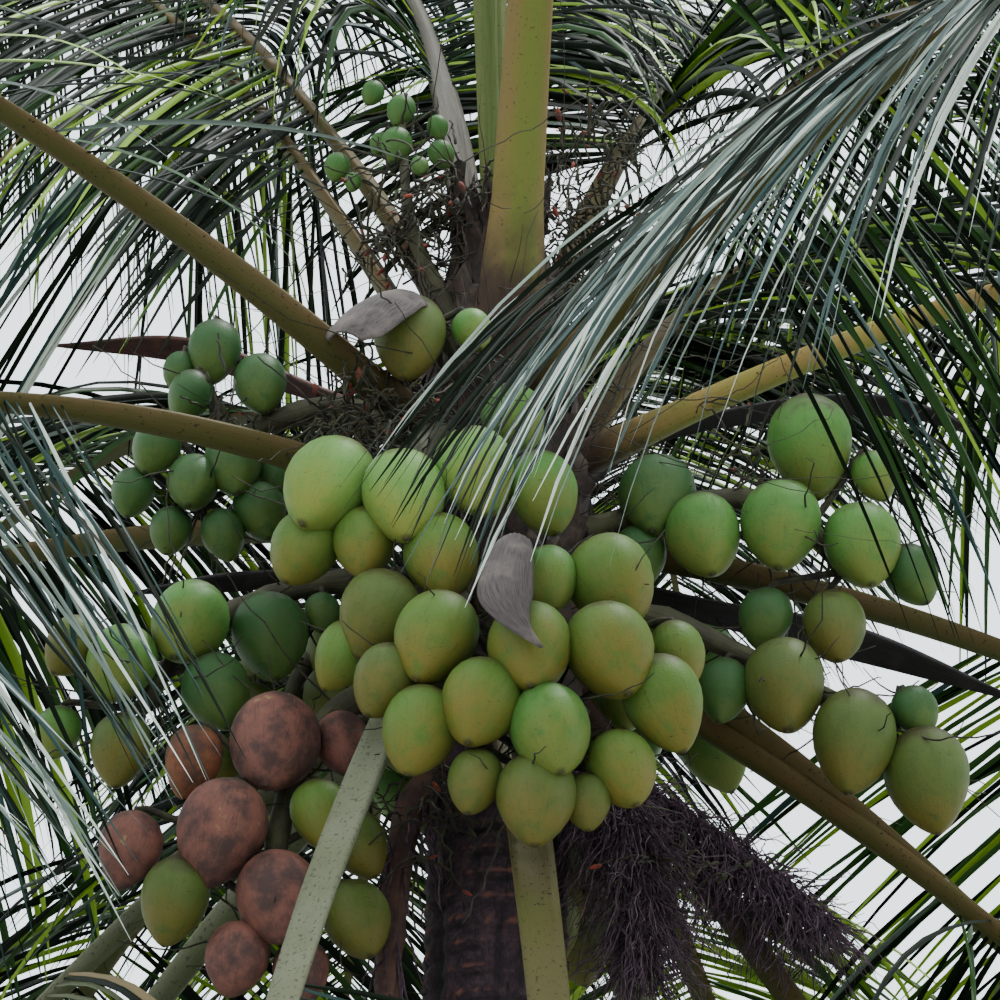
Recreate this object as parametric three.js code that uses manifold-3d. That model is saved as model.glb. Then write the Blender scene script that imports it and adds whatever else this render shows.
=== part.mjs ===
import * as THREE from 'three';
import { mergeVertices } from 'three/addons/utils/BufferGeometryUtils.js';
import Module from 'manifold-3d';

const wasm = await Module();
wasm.setup();

// A coconut palm: a leaning ringed trunk, a crown of arching fronds on all sides,
// bunches of nuts under them, woody bracts and hanging fibre.
// Millimetres, +Z up, the foot of the trunk at the origin, the seen side towards -Y.

// Trunk
const crownX = 350;
const crownY = 300;
const leanHeight = 5000;
const trunkSides = 16;
const trunkRings = [
  // height, radius
  [0, 275],
  [120, 238],
  [300, 206],
  [600, 187],
  [1200, 173],
  [2200, 162],
  [3200, 155],
  [4200, 152],
  [4700, 155],
  [5100, 158],
  [5450, 150],
  [5750, 118],
  [6000, 58],
];
const gap = 0.32;

// Fronds: an arc whose pitch falls from lift by bend along the length
const shankRadius = 150;
const bendPower = 1.3;
const curveSteps = 48;
const shankRuns = [0, 270, 620];
const shankWidth = 48;
const neckWidth = 44;
const neckRun = 300;
const petioleWidth = 37;
const tipWidth = 7;

// Leaflets
const leafLength = 1320;
const leafSag = 0.6;
const leafSweep = 100;
const leafPairs = 8;
const leafSteps = 6;
const leafThickness = 20;
const leafRoot = 90;
const leafFill = 0.42;
const clearance = 4;

// name, azimuth, height, lift, bend, length, leaf tilt, and what else differs
const frondTable = [
  ['frond_front_right', -70, 5500, -8, 22, 4400, -38],
  ['frond_front_up', -80, 5720, 73, 60, 4200, 10, { girth: 1.3 }],
  ['frond_left_high', -136, 5400, 19, 60, 4400, -25, { petiole: 920 }],
  ['frond_left_mid', -148, 5280, 4, 105, 4300, -70, { split: true, sweep: 125, sag: 0.15 }],
  ['frond_right_high', -4, 5420, 28, 60, 4300, -20],
  ['frond_right_mid', 18, 5270, -1, 64, 4300, -25],
  ['frond_back_left_up', 154, 5700, 65, 50, 4300, -45, { petiole: 800, sag: 0.5 }],
  ['frond_front_low', -82, 4780, -58, 34, 3800, -35, { petiole: 1400 }],
  ['frond_front_left_low', -118, 5100, -56, 40, 3900, -35, { petiole: 1400 }],
  ['frond_right_low', 22, 5120, -27, 50, 4200, -30],
  ['frond_right_lower', -6, 4980, -36, 40, 4200, -30],
  ['frond_right_down', 18, 4860, -50, 29, 4000, -30],
  ['frond_back_right', 72, 5090, -4, 54, 4200, -20],
  ['frond_back_right_steep', 54, 5300, 63, 80, 4300, 0, { split: true }],
  ['frond_right_up', 12, 5720, 62, 80, 4300, 5, { split: true }],
  ['frond_back_up', 108, 5880, 76, 70, 4200, 40, { split: true, sag: 0.9 }],
  ['frond_back_high', 80, 5600, 50, 75, 4300, 0, { split: true }],
  ['frond_back_left_high', 125, 5520, 38, 70, 4300, -10, { split: true }],
  ['frond_back_left_steep', 148, 5920, 64, 52, 4200, -40, { petiole: 800, sag: 0.45 }],
  ['frond_back_right_high', 60, 5740, 68, 60, 4200, 30],
  ['frond_back_mid', 98, 5380, 25, 65, 4300, -15],
  ['frond_back_left_mid', 160, 5300, 12, 62, 4300, -25],
  ['frond_back_left', 122, 5180, 0, 58, 4200, -25],
  ['frond_back_low', 98, 4980, -20, 50, 4200, -30],
  ['frond_back_left_low', 145, 4950, -34, 45, 4100, -30],
  ['frond_left_low', 182, 4920, -42, 35, 4000, -30],
  ['frond_back_right_low', 60, 4850, -46, 40, 4000, -30],
];
const fronds = frondTable.map(([name, azimuth, height, lift, bend, length, tilt, rest]) => (
  {
    name, azimuth, height, lift, bend, length, tilt,
    petiole: 1050, girth: 1, sag: leafSag, sweep: leafSweep, split: false, ...rest,
  }
));
const spearHeight = 5990;
const spearLength = 3100;

// Bunches: a stalk and the nuts about it, measured from the crown's axis
// each nut is across, depth, height, half width
const bunches = [
  {
    name: 'bunch_front_upper',
    stalk: [
      [-50, -120, 5330, 30],
      [-130, -320, 5330, 30],
      [-190, -420, 5180, 28],
      [-200, -440, 5000, 20],
    ],
    nuts: [
      [-360, -540, 5070, 94],
      [-200, -580, 5020, 88],
      [-50, -560, 5090, 86],
      [90, -530, 5060, 74],
      [-410, -490, 4950, 72],
      [-280, -530, 4940, 66],
      [-120, -560, 4890, 78],
      [30, -420, 5310, 68],
    ],
  },
  {
    name: 'bunch_front_lower',
    stalk: [
      [60, -120, 5000, 32],
      [80, -330, 4980, 32],
      [30, -440, 4820, 30],
      [30, -490, 4620, 26],
      [50, -490, 4440, 20],
    ],
    nuts: [
      [-250, -550, 4760, 84],
      [-320, -510, 4690, 60],
      [-230, -610, 4580, 66],
      [-130, -640, 4660, 84],
      [-160, -630, 4460, 76],
      [-40, -670, 4500, 80],
      [60, -670, 4620, 85],
      [100, -610, 4810, 60],
      [230, -580, 4820, 90],
      [220, -640, 4630, 90],
      [360, -550, 4670, 58],
      [330, -590, 4540, 80],
      [100, -670, 4440, 80],
      [240, -600, 4390, 70],
      [70, -630, 4310, 80],
      [-50, -630, 4350, 54],
      [170, -600, 4320, 50],
    ],
    bract: [
      [40, -430, 4850, 20],
      [34, -600, 4900, 26],
      [24, -720, 4830, 40],
      [10, -770, 4710, 54],
      [30, -790, 4630, 36],
      [80, -795, 4560, 4],
    ],
    bractFacing: [0, -0.6, 0.8],
  },
  {
    name: 'bunch_left_upper',
    stalk: [
      [-115, -35, 5440, 28],
      [-350, -20, 5580, 26],
      [-530, -20, 5540, 24],
      [-640, -20, 5450, 22],
      [-680, -20, 5320, 16],
    ],
    nuts: [
      [-660, -60, 5710, 62],
      [-740, -40, 5670, 40],
      [-550, -60, 5620, 62],
      [-710, -90, 5570, 50],
      [-780, -90, 5430, 56],
      [-600, -90, 5390, 66],
      [-690, -90, 5340, 60],
      [-830, -50, 5340, 50],
      [-540, -50, 5290, 60],
      [-740, -50, 5240, 48],
      [-510, -20, 5400, 46],
      [-620, -50, 5230, 50],
    ],
  },
  {
    name: 'bunch_left_lower',
    stalk: [
      [-110, -20, 5090, 30],
      [-350, -70, 5100, 28],
      [-560, -120, 5010, 26],
      [-700, -150, 4870, 22],
      [-770, -160, 4740, 16],
    ],
    nuts: [
      [-670, -210, 4920, 84],
      [-500, -130, 4930, 84],
      [-600, -220, 4750, 74],
      [-810, -230, 4810, 76],
      [-920, -200, 4870, 60],
      [-800, -210, 4620, 64],
      [-940, -170, 4680, 50],
      [-390, -110, 5000, 40],
    ],
  },
  {
    name: 'bunch_brown',
    stalk: [
      [-110, -70, 4830, 30],
      [-260, -150, 4800, 30],
      [-400, -210, 4640, 28],
      [-460, -230, 4420, 24],
      [-460, -230, 4240, 18],
    ],
    nuts: [
      [-470, -300, 4590, 96],
      [-570, -320, 4380, 92],
      [-450, -310, 4240, 86],
      [-640, -280, 4560, 60],
      [-760, -280, 4360, 66],
      [-660, -300, 4240, 70],
      [-370, -300, 4430, 62],
      [-290, -240, 4390, 60],
      [-290, -270, 4210, 70],
      [-530, -280, 4120, 66],
      [-330, -240, 4620, 58],
      [-400, -260, 4100, 58],
    ],
  },
  {
    name: 'bunch_right_upper',
    stalk: [
      [118, -45, 5220, 30],
      [330, -70, 5270, 28],
      [550, -90, 5300, 26],
      [690, -80, 5230, 22],
      [760, -80, 5120, 16],
    ],
    nuts: [
      [700, -120, 5420, 96],
      [840, -120, 5340, 50],
      [350, -110, 5290, 88],
      [450, -150, 5170, 84],
      [620, -160, 5190, 90],
      [800, -140, 5150, 86],
      [910, -100, 5100, 60],
      [310, -90, 5150, 60],
      [730, -120, 4960, 70],
      [580, -120, 4980, 60],
    ],
  },
  {
    name: 'bunch_right_lower',
    stalk: [
      [110, -60, 5050, 28],
      [330, -120, 4990, 26],
      [520, -130, 4890, 24],
      [700, -120, 4790, 20],
      [840, -120, 4720, 14],
    ],
    nuts: [
      [610, -170, 4790, 88],
      [750, -170, 4660, 90],
      [910, -130, 4590, 92],
      [890, -150, 4740, 50],
      [480, -150, 4790, 58],
    ],
  },
  {
    name: 'bunch_under_bract',
    stalk: [
      [-70, -90, 5530, 24],
      [-110, -210, 5620, 24],
      [-140, -310, 5630, 20],
    ],
    nuts: [
      [-200, -350, 5560, 80],
      [-60, -350, 5580, 45],
    ],
    bract: [
      [-130, -290, 5640, 18],
      [-205, -390, 5640, 40],
      [-268, -455, 5575, 54],
      [-320, -490, 5500, 50],
      [-338, -500, 5470, 30],
    ],
    bractFacing: [-0.2, -0.75, 0.6],
  },
  {
    name: 'bunch_young',
    stalk: [
      [-60, -30, 5750, 20],
      [-150, -60, 5900, 18],
      [-210, -70, 6050, 16],
      [-230, -60, 6250, 12],
      [-240, -60, 6420, 8],
    ],
    nuts: [
      [-310, -50, 6460, 28],
      [-240, -60, 6400, 35],
      [-250, -70, 6290, 38],
      [-140, -60, 6270, 32],
      [-150, -60, 6350, 26],
      [-390, -50, 6240, 32],
      [-350, -60, 6190, 22],
      [-290, -20, 6330, 26],
      [-190, -110, 6200, 22],
    ],
  },
];

// Bunches on the far side follow one rule: azimuth, height, half width of a nut
const farBunches = [
  ['bunch_far_right', 44, 5190, 84],
  ['bunch_far_middle', 86, 5240, 78],
  ['bunch_far_left', 136, 5080, 80],
  ['bunch_far_low_left', 168, 5050, 70],
  ['bunch_far_low', 86, 4780, 86],
];
const farNutCount = 11;
const farReach = 430;
const goldenAngle = 137.5;

// Woody bracts: across, depth, height, half width
const bracts = [
  {
    name: 'bract_left_high',
    path: [
      [-115, 25, 5525, 20],
      [-400, 100, 5690, 30],
      [-735, 100, 5825, 46],
      [-1045, 60, 5805, 4],
    ],
  },
  {
    name: 'bract_left_low',
    path: [
      [-110, 40, 5190, 22],
      [-390, 60, 5190, 26],
      [-620, 40, 5165, 34],
      [-820, 10, 5115, 4],
    ],
  },
  {
    name: 'bract_right_high',
    path: [
      [110, 50, 5330, 22],
      [330, 90, 5560, 26],
      [600, 100, 5650, 34],
      [850, 100, 5675, 36],
      [1010, 90, 5635, 26],
      [1140, 80, 5555, 4],
    ],
  },
  {
    name: 'bract_right_low',
    path: [
      [120, 28, 5195, 22],
      [450, 170, 5170, 40],
      [820, 250, 5125, 60],
      [1190, 280, 4980, 5],
    ],
  },
];
const bractThickness = 14;

// Hanging fibre and one dead stalk: across, depth, height, radius
const hangings = [
  {
    name: 'fibre_front',
    sides: 7,
    path: [
      [80, -90, 4740, 50],
      [190, -150, 4640, 70],
      [260, -180, 4460, 105],
      [290, -190, 4270, 85],
      [290, -190, 4080, 15],
    ],
  },
  {
    name: 'fibre_right',
    sides: 7,
    path: [
      [110, 0, 4700, 40],
      [270, -10, 4640, 45],
      [430, -10, 4530, 62],
      [590, 0, 4400, 80],
      [740, 10, 4270, 15],
    ],
  },
  {
    name: 'stalk_dead',
    sides: 5,
    path: [
      [-100, -60, 4660, 42],
      [-190, -120, 4520, 34],
      [-225, -140, 4250, 30],
      [-235, -140, 3900, 24],
    ],
  },
];

const up = new THREE.Vector3(0, 0, 1);

function radians(degrees) {
  return (degrees * Math.PI) / 180;
}

function vector(row) {
  return new THREE.Vector3(row[0], row[1], row[2]);
}

// The trunk's axis leans out from the foot and stands upright under the crown
function axisAt(height) {
  const rise = Math.min(height / leanHeight, 1);
  const share = 1 - (1 - rise) ** 2;
  return new THREE.Vector3(crownX * share, crownY * share, height);
}

// A point measured from the crown's axis
function inCrown(row) {
  return new THREE.Vector3(crownX + row[0], crownY + row[1], row[2]);
}

// A closed skin over rings of equal count, capped at both ends
function loft(rings) {
  const points = [];
  const faces = [];
  const starts = [];
  for (const ring of rings) {
    starts.push(points.length);
    points.push(...ring);
  }
  for (let k = 0; k + 1 < rings.length; k += 1) {
    const low = rings[k];
    const high = rings[k + 1];
    for (let i = 0; i < low.length; i += 1) {
      const a = starts[k] + i;
      const b = starts[k] + ((i + 1) % low.length);
      if (high.length === 1) {
        faces.push(a, b, starts[k + 1]);
      } else {
        const c = starts[k + 1] + ((i + 1) % low.length);
        const d = starts[k + 1] + i;
        faces.push(a, b, c, a, c, d);
      }
    }
  }
  for (let i = 1; i + 1 < rings[0].length; i += 1) {
    faces.push(0, i + 1, i);
  }
  const last = rings.length - 1;
  for (let i = 1; i + 1 < rings[last].length; i += 1) {
    faces.push(starts[last], starts[last] + i, starts[last] + i + 1);
  }
  const geometry = new THREE.BufferGeometry();
  geometry.setFromPoints(points);
  geometry.setIndex(faces);
  return geometry;
}

function solidOf(geometry) {
  const clean = geometry.clone();
  clean.deleteAttribute('normal');
  clean.deleteAttribute('uv');
  const merged = mergeVertices(clean, 1e-3);
  const mesh = new wasm.Mesh({
    numProp: 3,
    vertProperties: new Float32Array(merged.attributes.position.array),
    triVerts: new Uint32Array(merged.index.array),
  });
  return new wasm.Manifold(mesh);
}

function geometryOf(solid) {
  const mesh = solid.getMesh();
  const geometry = new THREE.BufferGeometry();
  geometry.setAttribute('position', new THREE.BufferAttribute(new Float32Array(mesh.vertProperties), 3));
  geometry.setIndex(new THREE.BufferAttribute(new Uint32Array(mesh.triVerts), 1));
  return geometry;
}

// One ring of a round limb about a point, square to its run
function roundRing(centre, along, across, radius, sides) {
  const over = new THREE.Vector3().crossVectors(along, across);
  const ring = [];
  for (let i = 0; i < sides; i += 1) {
    const turn = (i / sides) * Math.PI * 2;
    const place = centre.clone();
    place.addScaledVector(across, Math.cos(turn) * radius);
    place.addScaledVector(over, Math.sin(turn) * radius);
    ring.push(place);
  }
  return ring;
}

function runAt(places, k) {
  const from = places[Math.max(k - 1, 0)];
  const to = places[Math.min(k + 1, places.length - 1)];
  return to.clone().sub(from).normalize();
}

// Each ring is turned as little as the run allows, so that the skin isn't twisted
function limb(places, radii, sides) {
  const first = runAt(places, 0);
  const aside = Math.abs(first.z) > 0.9 ? new THREE.Vector3(0, 1, 0) : up;
  const across = new THREE.Vector3().crossVectors(aside, first);
  return loft(places.map((place, k) => {
    const along = runAt(places, k);
    across.addScaledVector(along, -across.dot(along)).normalize();
    return roundRing(place, along, across, radii[k], sides);
  }));
}

// Trunk
function trunkGeometry(growth) {
  const rings = trunkRings.map(([height, radius], k) => {
    const centre = axisAt(height);
    const drop = k === 0 ? growth : 0;
    const ring = [];
    for (let i = 0; i < trunkSides; i += 1) {
      const turn = ((i + 0.5) / trunkSides) * Math.PI * 2;
      const reach = radius + growth;
      ring.push(new THREE.Vector3(
        centre.x + Math.cos(turn) * reach,
        centre.y + Math.sin(turn) * reach,
        height - drop + (k === trunkRings.length - 1 ? growth : 0),
      ));
    }
    return ring;
  });
  return loft(rings);
}

// Fronds
function frondStations(frond) {
  const turn = radians(frond.azimuth);
  const out = new THREE.Vector3(Math.cos(turn), Math.sin(turn), 0);
  const side = new THREE.Vector3(-Math.sin(turn), Math.cos(turn), 0);
  const place = inCrown([0, 0, frond.height]).addScaledVector(out, shankRadius);
  const stations = [];
  for (let i = 0; i <= curveSteps; i += 1) {
    const share = i / curveSteps;
    const pitch = radians(frond.lift - frond.bend * share ** bendPower);
    const along = out.clone().multiplyScalar(Math.cos(pitch)).addScaledVector(up, Math.sin(pitch));
    if (i > 0) {
      const step = frond.length / curveSteps / 2;
      place.addScaledVector(stations[i - 1].along, step).addScaledVector(along, step);
    }
    const over = new THREE.Vector3().crossVectors(along, side);
    stations.push({ place: place.clone(), along, side, over, run: share * frond.length });
  }
  return stations;
}

// Flat above and narrower below, as a petiole is
function ribRing(frond, station, place, run) {
  let width = tipWidth;
  if (run < neckRun) {
    width = THREE.MathUtils.lerp(shankWidth, neckWidth, run / neckRun) * frond.girth;
  } else if (run < frond.petiole) {
    const share = (run - neckRun) / (frond.petiole - neckRun);
    width = THREE.MathUtils.lerp(neckWidth, petioleWidth, share) * frond.girth;
  } else {
    const share = (run - frond.petiole) / (frond.length - frond.petiole);
    width = THREE.MathUtils.lerp(petioleWidth * frond.girth, tipWidth, share);
  }
  const depth = Math.max(width * 0.62, tipWidth);
  const corners = [
    [1, 0.6],
    [-1, 0.6],
    [-0.5, -1],
    [0.5, -1],
  ];
  return corners.map(([a, b]) => {
    const corner = place.clone().addScaledVector(station.side, a * width);
    return corner.addScaledVector(station.over, b * depth);
  });
}

// The arc's place and frame at any run along it
function stationAt(frond, stations, run) {
  const spot = (run / frond.length) * curveSteps;
  const index = Math.min(Math.floor(spot), curveSteps - 1);
  const station = stations[index];
  const place = station.place.clone().lerp(stations[index + 1].place, spot - index);
  return { ...station, place, run };
}

function leafRuns(frond, pair) {
  const spacing = (frond.length - frond.petiole) / leafPairs;
  const middle = frond.petiole + spacing * (pair + 0.5);
  const half = leafRoot * (1 - 0.55 * (pair / leafPairs)) / 2;
  return [middle - half, middle + half];
}

// A leaflet's own arc, set at an angle that closes towards the frond's tip
function leafArc(frond, stations, pair, sign, scale) {
  const share = (pair + 0.5) / leafPairs;
  const run = frond.petiole + (frond.length - frond.petiole) * share;
  const station = stationAt(frond, stations, run);
  const place = station.place.clone();
  const angle = radians(frond.sweep - 62 * share ** 0.9);
  const tilt = radians(frond.tilt);
  const outward = station.side.clone().multiplyScalar(sign * Math.cos(tilt));
  outward.addScaledVector(station.over, Math.sin(tilt));
  const start = station.along.clone().multiplyScalar(Math.cos(angle));
  start.addScaledVector(outward, Math.sin(angle));
  let length = leafLength * (0.72 + 0.28 * Math.sin((Math.min(share / 0.25, 1) * Math.PI) / 2));
  if (share > 0.25) {
    length = leafLength * (1 - 0.75 * ((share - 0.25) / 0.75) ** 1.8);
  }
  const places = [place.clone()];
  let along = start;
  let middleRun = start;
  for (let j = 1; j <= leafSteps; j += 1) {
    const v = j / leafSteps;
    along = start.clone().multiplyScalar(1 - frond.sag * v).addScaledVector(up, -frond.sag * v).normalize();
    place.addScaledVector(along, (length * scale) / leafSteps);
    places.push(place.clone());
    if (j === leafSteps / 2) {
      middleRun = along;
    }
  }
  const spread = station.along.clone().addScaledVector(middleRun, -station.along.dot(middleRun)).normalize();
  const over = new THREE.Vector3().crossVectors(spread, middleRun).multiplyScalar(sign);
  const spacing = (frond.length - frond.petiole) / leafPairs;
  const half = spacing * leafFill * Math.sin(angle);
  return { sign, middle: places[leafSteps / 2], tip: place.clone(), tipRun: along, spread, over, half };
}

// Four corners of a leaflet's broadest place, in the order of the rib's side face
function leafMiddle(leaf, growth) {
  const half = leaf.half + growth;
  const thick = leafThickness / 2 + growth;
  const corner = (a, b) => (
    leaf.middle.clone().addScaledVector(leaf.spread, a * half).addScaledVector(leaf.over, b * thick)
  );
  if (leaf.sign > 0) {
    return [corner(-1, -1), corner(-1, 1), corner(1, 1), corner(1, -1)];
  }
  return [corner(-1, 1), corner(-1, -1), corner(1, -1), corner(1, 1)];
}

// The rib's side face between two rings, from which a leaflet grows
function sideFace(low, high, sign) {
  return sign > 0 ? [low[3], low[0], high[0], high[3]] : [low[1], low[2], high[2], high[1]];
}

function leafBody(rings, leaf, growth) {
  const tip = leaf.tip.clone().addScaledVector(leaf.tipRun, growth);
  return loft([sideFace(rings[0], rings[1], leaf.sign), leafMiddle(leaf, growth), [tip]]);
}

// Rings along the rib: the shank, then two at each pair of leaflets, then the end
function ribRings(frond, stations, from, to) {
  const rings = [];
  const add = (run, pair) => {
    const station = stationAt(frond, stations, run);
    rings.push({ ring: ribRing(frond, station, station.place, run), pair });
  };
  if (from === 0) {
    const start = stations[0];
    const level = Math.max(Math.cos(radians(frond.lift)), 0.3);
    const place = start.place.clone().addScaledVector(start.along, -115 / level);
    rings.push({ ring: ribRing(frond, start, place, 0), pair: -1 });
    shankRuns.forEach((run) => add(run, -1));
  } else {
    add(from + gap, -1);
  }
  for (let pair = 0; pair < leafPairs; pair += 1) {
    const [low, high] = leafRuns(frond, pair);
    if (low > from + 20 && high < to - 20) {
      add(low, pair);
      add(high, -1);
    }
  }
  add(to, -1);
  return rings;
}

// One closed skin of the rib with a leaflet drawn out of each of its chosen side faces
function frondGeometry(rings, leaves) {
  const points = [];
  const faces = [];
  const index = (point) => points.push(point) - 1;
  const quad = (a, b, c, d) => faces.push(a, b, c, a, c, d);
  const marks = rings.map(({ ring }) => ring.map(index));
  for (let k = 0; k + 1 < marks.length; k += 1) {
    const low = marks[k];
    const high = marks[k + 1];
    for (let i = 0; i < 4; i += 1) {
      const j = (i + 1) % 4;
      const sign = { 1: -1, 3: 1 }[i];
      const leaf = leaves.find((one) => one.pair === rings[k].pair && one.sign === sign);
      const base = [low[i], low[j], high[j], high[i]];
      if (leaf && rings[k].pair >= 0) {
        const middle = leafMiddle(leaf, 0).map(index);
        const tip = index(leaf.tip);
        for (let m = 0; m < 4; m += 1) {
          const n = (m + 1) % 4;
          quad(base[m], base[n], middle[n], middle[m]);
          faces.push(middle[m], middle[n], tip);
        }
      } else {
        quad(...base);
      }
    }
  }
  const first = marks[0];
  const last = marks[marks.length - 1];
  quad(first[3], first[2], first[1], first[0]);
  quad(last[0], last[1], last[2], last[3]);
  const geometry = new THREE.BufferGeometry();
  geometry.setFromPoints(points);
  geometry.setIndex(faces);
  return geometry;
}

// Nuts
const nutDroop = 1.2;
const bigNut = 80;
const bigProfile = [
  [0, -1.26],
  [0.72, -0.9],
  [1, -0.05],
  [0.62, 0.95],
  [0, 1.16],
];
const smallProfile = [
  [0, -1.26],
  [0.9, -0.6],
  [0.9, 0.55],
  [0, 1.16],
];

function nutGeometry(centre, axis, half) {
  const big = half > bigNut;
  const profile = (big ? bigProfile : smallProfile).map(([r, z]) => new THREE.Vector2(r * half, z * half));
  const geometry = new THREE.LatheGeometry(profile, big ? 6 : 5);
  const turn = new THREE.Quaternion().setFromUnitVectors(new THREE.Vector3(0, 1, 0), axis.clone().negate());
  geometry.applyQuaternion(turn);
  geometry.translate(centre.x, centre.y, centre.z);
  return geometry;
}

function nearestOn(path, point) {
  let best = path[0];
  for (let k = 0; k + 1 < path.length; k += 1) {
    const line = new THREE.Line3(path[k], path[k + 1]);
    const spot = line.closestPointToPoint(point, true, new THREE.Vector3());
    if (spot.distanceTo(point) < best.distanceTo(point)) {
      best = spot;
    }
  }
  return best;
}

// A thin woody bract: boat-shaped, widest past its middle, its flat side turned to where it faces
function bractGeometry(rows, facing) {
  const places = rows.map(inCrown);
  const rings = places.map((place, k) => {
    const along = runAt(places, k);
    const across = new THREE.Vector3().crossVectors(facing, along).normalize();
    const over = new THREE.Vector3().crossVectors(along, across);
    const half = rows[k][3];
    return [
      place.clone().addScaledVector(across, -half),
      place.clone().addScaledVector(over, -Math.min(half, bractThickness)),
      place.clone().addScaledVector(across, half),
      place.clone().addScaledVector(over, Math.min(half, bractThickness)),
    ];
  });
  return loft(rings);
}

function nutSolid(path, half, centre) {
  const spot = nearestOn(path, centre);
  const axis = centre.clone().sub(spot).normalize().addScaledVector(up, -nutDroop).normalize();
  const stem = centre.clone().addScaledVector(axis, -half * 0.9);
  return { solid: solidOf(nutGeometry(centre, axis, half)), spot, stem };
}

const root = new THREE.Group();
const placed = [];

function boxOf(solid) {
  const box = solid.boundingBox();
  return new THREE.Box3(vector(box.min), vector(box.max));
}

function touches(solid, others) {
  const box = boxOf(solid);
  for (const other of others) {
    if (box.intersectsBox(other.box) && !solid.intersect(other.solid).isEmpty()) {
      return true;
    }
  }
  return false;
}

function keep(name, solid) {
  const entry = { name, solid, box: boxOf(solid) };
  placed.push(entry);
  return entry;
}

// A nut clear of its bunch hangs on a twig from the stalk
function hang(bunch, nut) {
  let solid = nut.solid;
  if (!touches(solid, [{ solid: bunch, box: boxOf(bunch) }])) {
    solid = solid.add(solidOf(limb([nut.spot, nut.stem], [13, 13], 3)));
  }
  return bunch.add(solid);
}

const trunkSolid = solidOf(trunkGeometry(0));
const trunkGrown = solidOf(trunkGeometry(gap));
keep('trunk', trunkSolid);

// Ribs first, so that every leaflet and nut can keep clear of them
const ribs = [];
for (const frond of fronds) {
  const stations = frondStations(frond);
  const middle = frond.petiole + (frond.length - frond.petiole) * 0.375;
  const spans = frond.split ? [[0, middle], [middle, frond.length]] : [[0, frond.length]];
  spans.forEach(([from, to], k) => {
    const rings = ribRings(frond, stations, from, to);
    let solid = solidOf(frondGeometry(rings, []));
    if (from === 0) {
      solid = solid.subtract(trunkGrown);
    }
    const name = k === 0 ? frond.name : `${frond.name}_outer`;
    ribs.push({ frond, stations, rings, entry: keep(name, solid) });
  });
}

const spearBase = inCrown([0, 0, spearHeight - 60]);
const spearPlaces = [0, 0.3, 0.7, 1].map((share) => (
  spearBase.clone().add(new THREE.Vector3(-90 * share, 40 * share * share, spearLength * share))
));
const spear = solidOf(limb(spearPlaces, [34, 40, 30, 8], 6)).subtract(trunkGrown);
keep('spear', spear);

for (const bunch of bunches) {
  const path = bunch.stalk.map(inCrown);
  const radii = bunch.stalk.map((row) => row[3]);
  let solid = solidOf(limb(path, radii, 5)).subtract(trunkGrown);
  for (const row of bunch.nuts) {
    solid = hang(solid, nutSolid(path, row[3], inCrown(row)));
  }
  if (bunch.bract) {
    solid = solid.add(solidOf(bractGeometry(bunch.bract, vector(bunch.bractFacing))));
  }
  keep(bunch.name, solid);
}

for (const bract of bracts) {
  keep(bract.name, solidOf(bractGeometry(bract.path, up)).subtract(trunkGrown));
}
for (const hanging of hangings) {
  const places = hanging.path.map(inCrown);
  const radii = hanging.path.map((row) => row[3]);
  keep(hanging.name, solidOf(limb(places, radii, hanging.sides)).subtract(trunkGrown));
}

for (const [name, azimuth, height, half] of farBunches) {
  const turn = radians(azimuth);
  const spot = (reach, level) => [Math.cos(turn) * reach, Math.sin(turn) * reach, level];
  const stalk = [
    spot(110, height),
    spot(280, height + 20),
    spot(farReach, height - 60),
    spot(farReach + 70, height - 230),
  ];
  const path = stalk.map(inCrown);
  let solid = solidOf(limb(path, [30, 28, 24, 16], 5)).subtract(trunkGrown);
  const around = placed.slice();
  for (let i = 0; i < farNutCount; i += 1) {
    const share = (i + 0.5) / farNutCount;
    const swing = radians(i * goldenAngle);
    const centre = inCrown(spot(farReach + 60, height - 40 - 300 * share));
    centre.x += Math.cos(swing) * (110 + 50 * share);
    centre.y += Math.sin(swing) * (110 + 50 * share);
    const nut = nutSolid(path, half * (0.85 + 0.15 * Math.cos(i * 2.4)), centre);
    const reach = nut.solid.add(solidOf(limb([nut.spot, nut.stem], [13, 13], 3)));
    if (!touches(reach, around)) {
      solid = hang(solid, nut);
    }
  }
  keep(name, solid);
}

// Leaflets, each kept out of every other piece; a shorter one is tried before it is left out
for (const rib of ribs) {
  const leaves = [];
  const others = placed.filter((entry) => entry !== rib.entry);
  const bodies = [];
  rib.rings.forEach(({ ring, pair }, k) => {
    for (const sign of pair < 0 ? [] : [-1, 1]) {
      const fits = [1, 0.75, 0.5].find((scale) => {
        const leaf = leafArc(rib.frond, rib.stations, pair, sign, scale);
        const test = solidOf(leafBody([ring, rib.rings[k + 1].ring], leaf, clearance));
        return !touches(test, others) && !touches(test, bodies);
      });
      if (fits) {
        const leaf = leafArc(rib.frond, rib.stations, pair, sign, fits);
        const solid = solidOf(leafBody([ring, rib.rings[k + 1].ring], leaf, 0));
        leaves.push({ ...leaf, pair });
        bodies.push({ solid, box: boxOf(solid) });
      }
    }
  });
  let solid = solidOf(frondGeometry(rib.rings, leaves));
  if (rib.rings[0].pair < 0 && !rib.entry.name.endsWith('outer')) {
    solid = solid.subtract(trunkGrown);
  }
  rib.entry.solid = solid;
  rib.entry.box = boxOf(solid);
}

const looks = {
  trunk: { color: 0x5a4336, roughness: 0.95 },
  frond: { color: 0x5f7a35, roughness: 0.6 },
  spear: { color: 0xa9b86a, roughness: 0.6 },
  bunch: { color: 0x7f9a3a, roughness: 0.5 },
  bract: { color: 0x6b4c46, roughness: 0.85 },
  fibre: { color: 0x3b2a2c, roughness: 1 },
  stalk: { color: 0x42302a, roughness: 0.95 },
};

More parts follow.
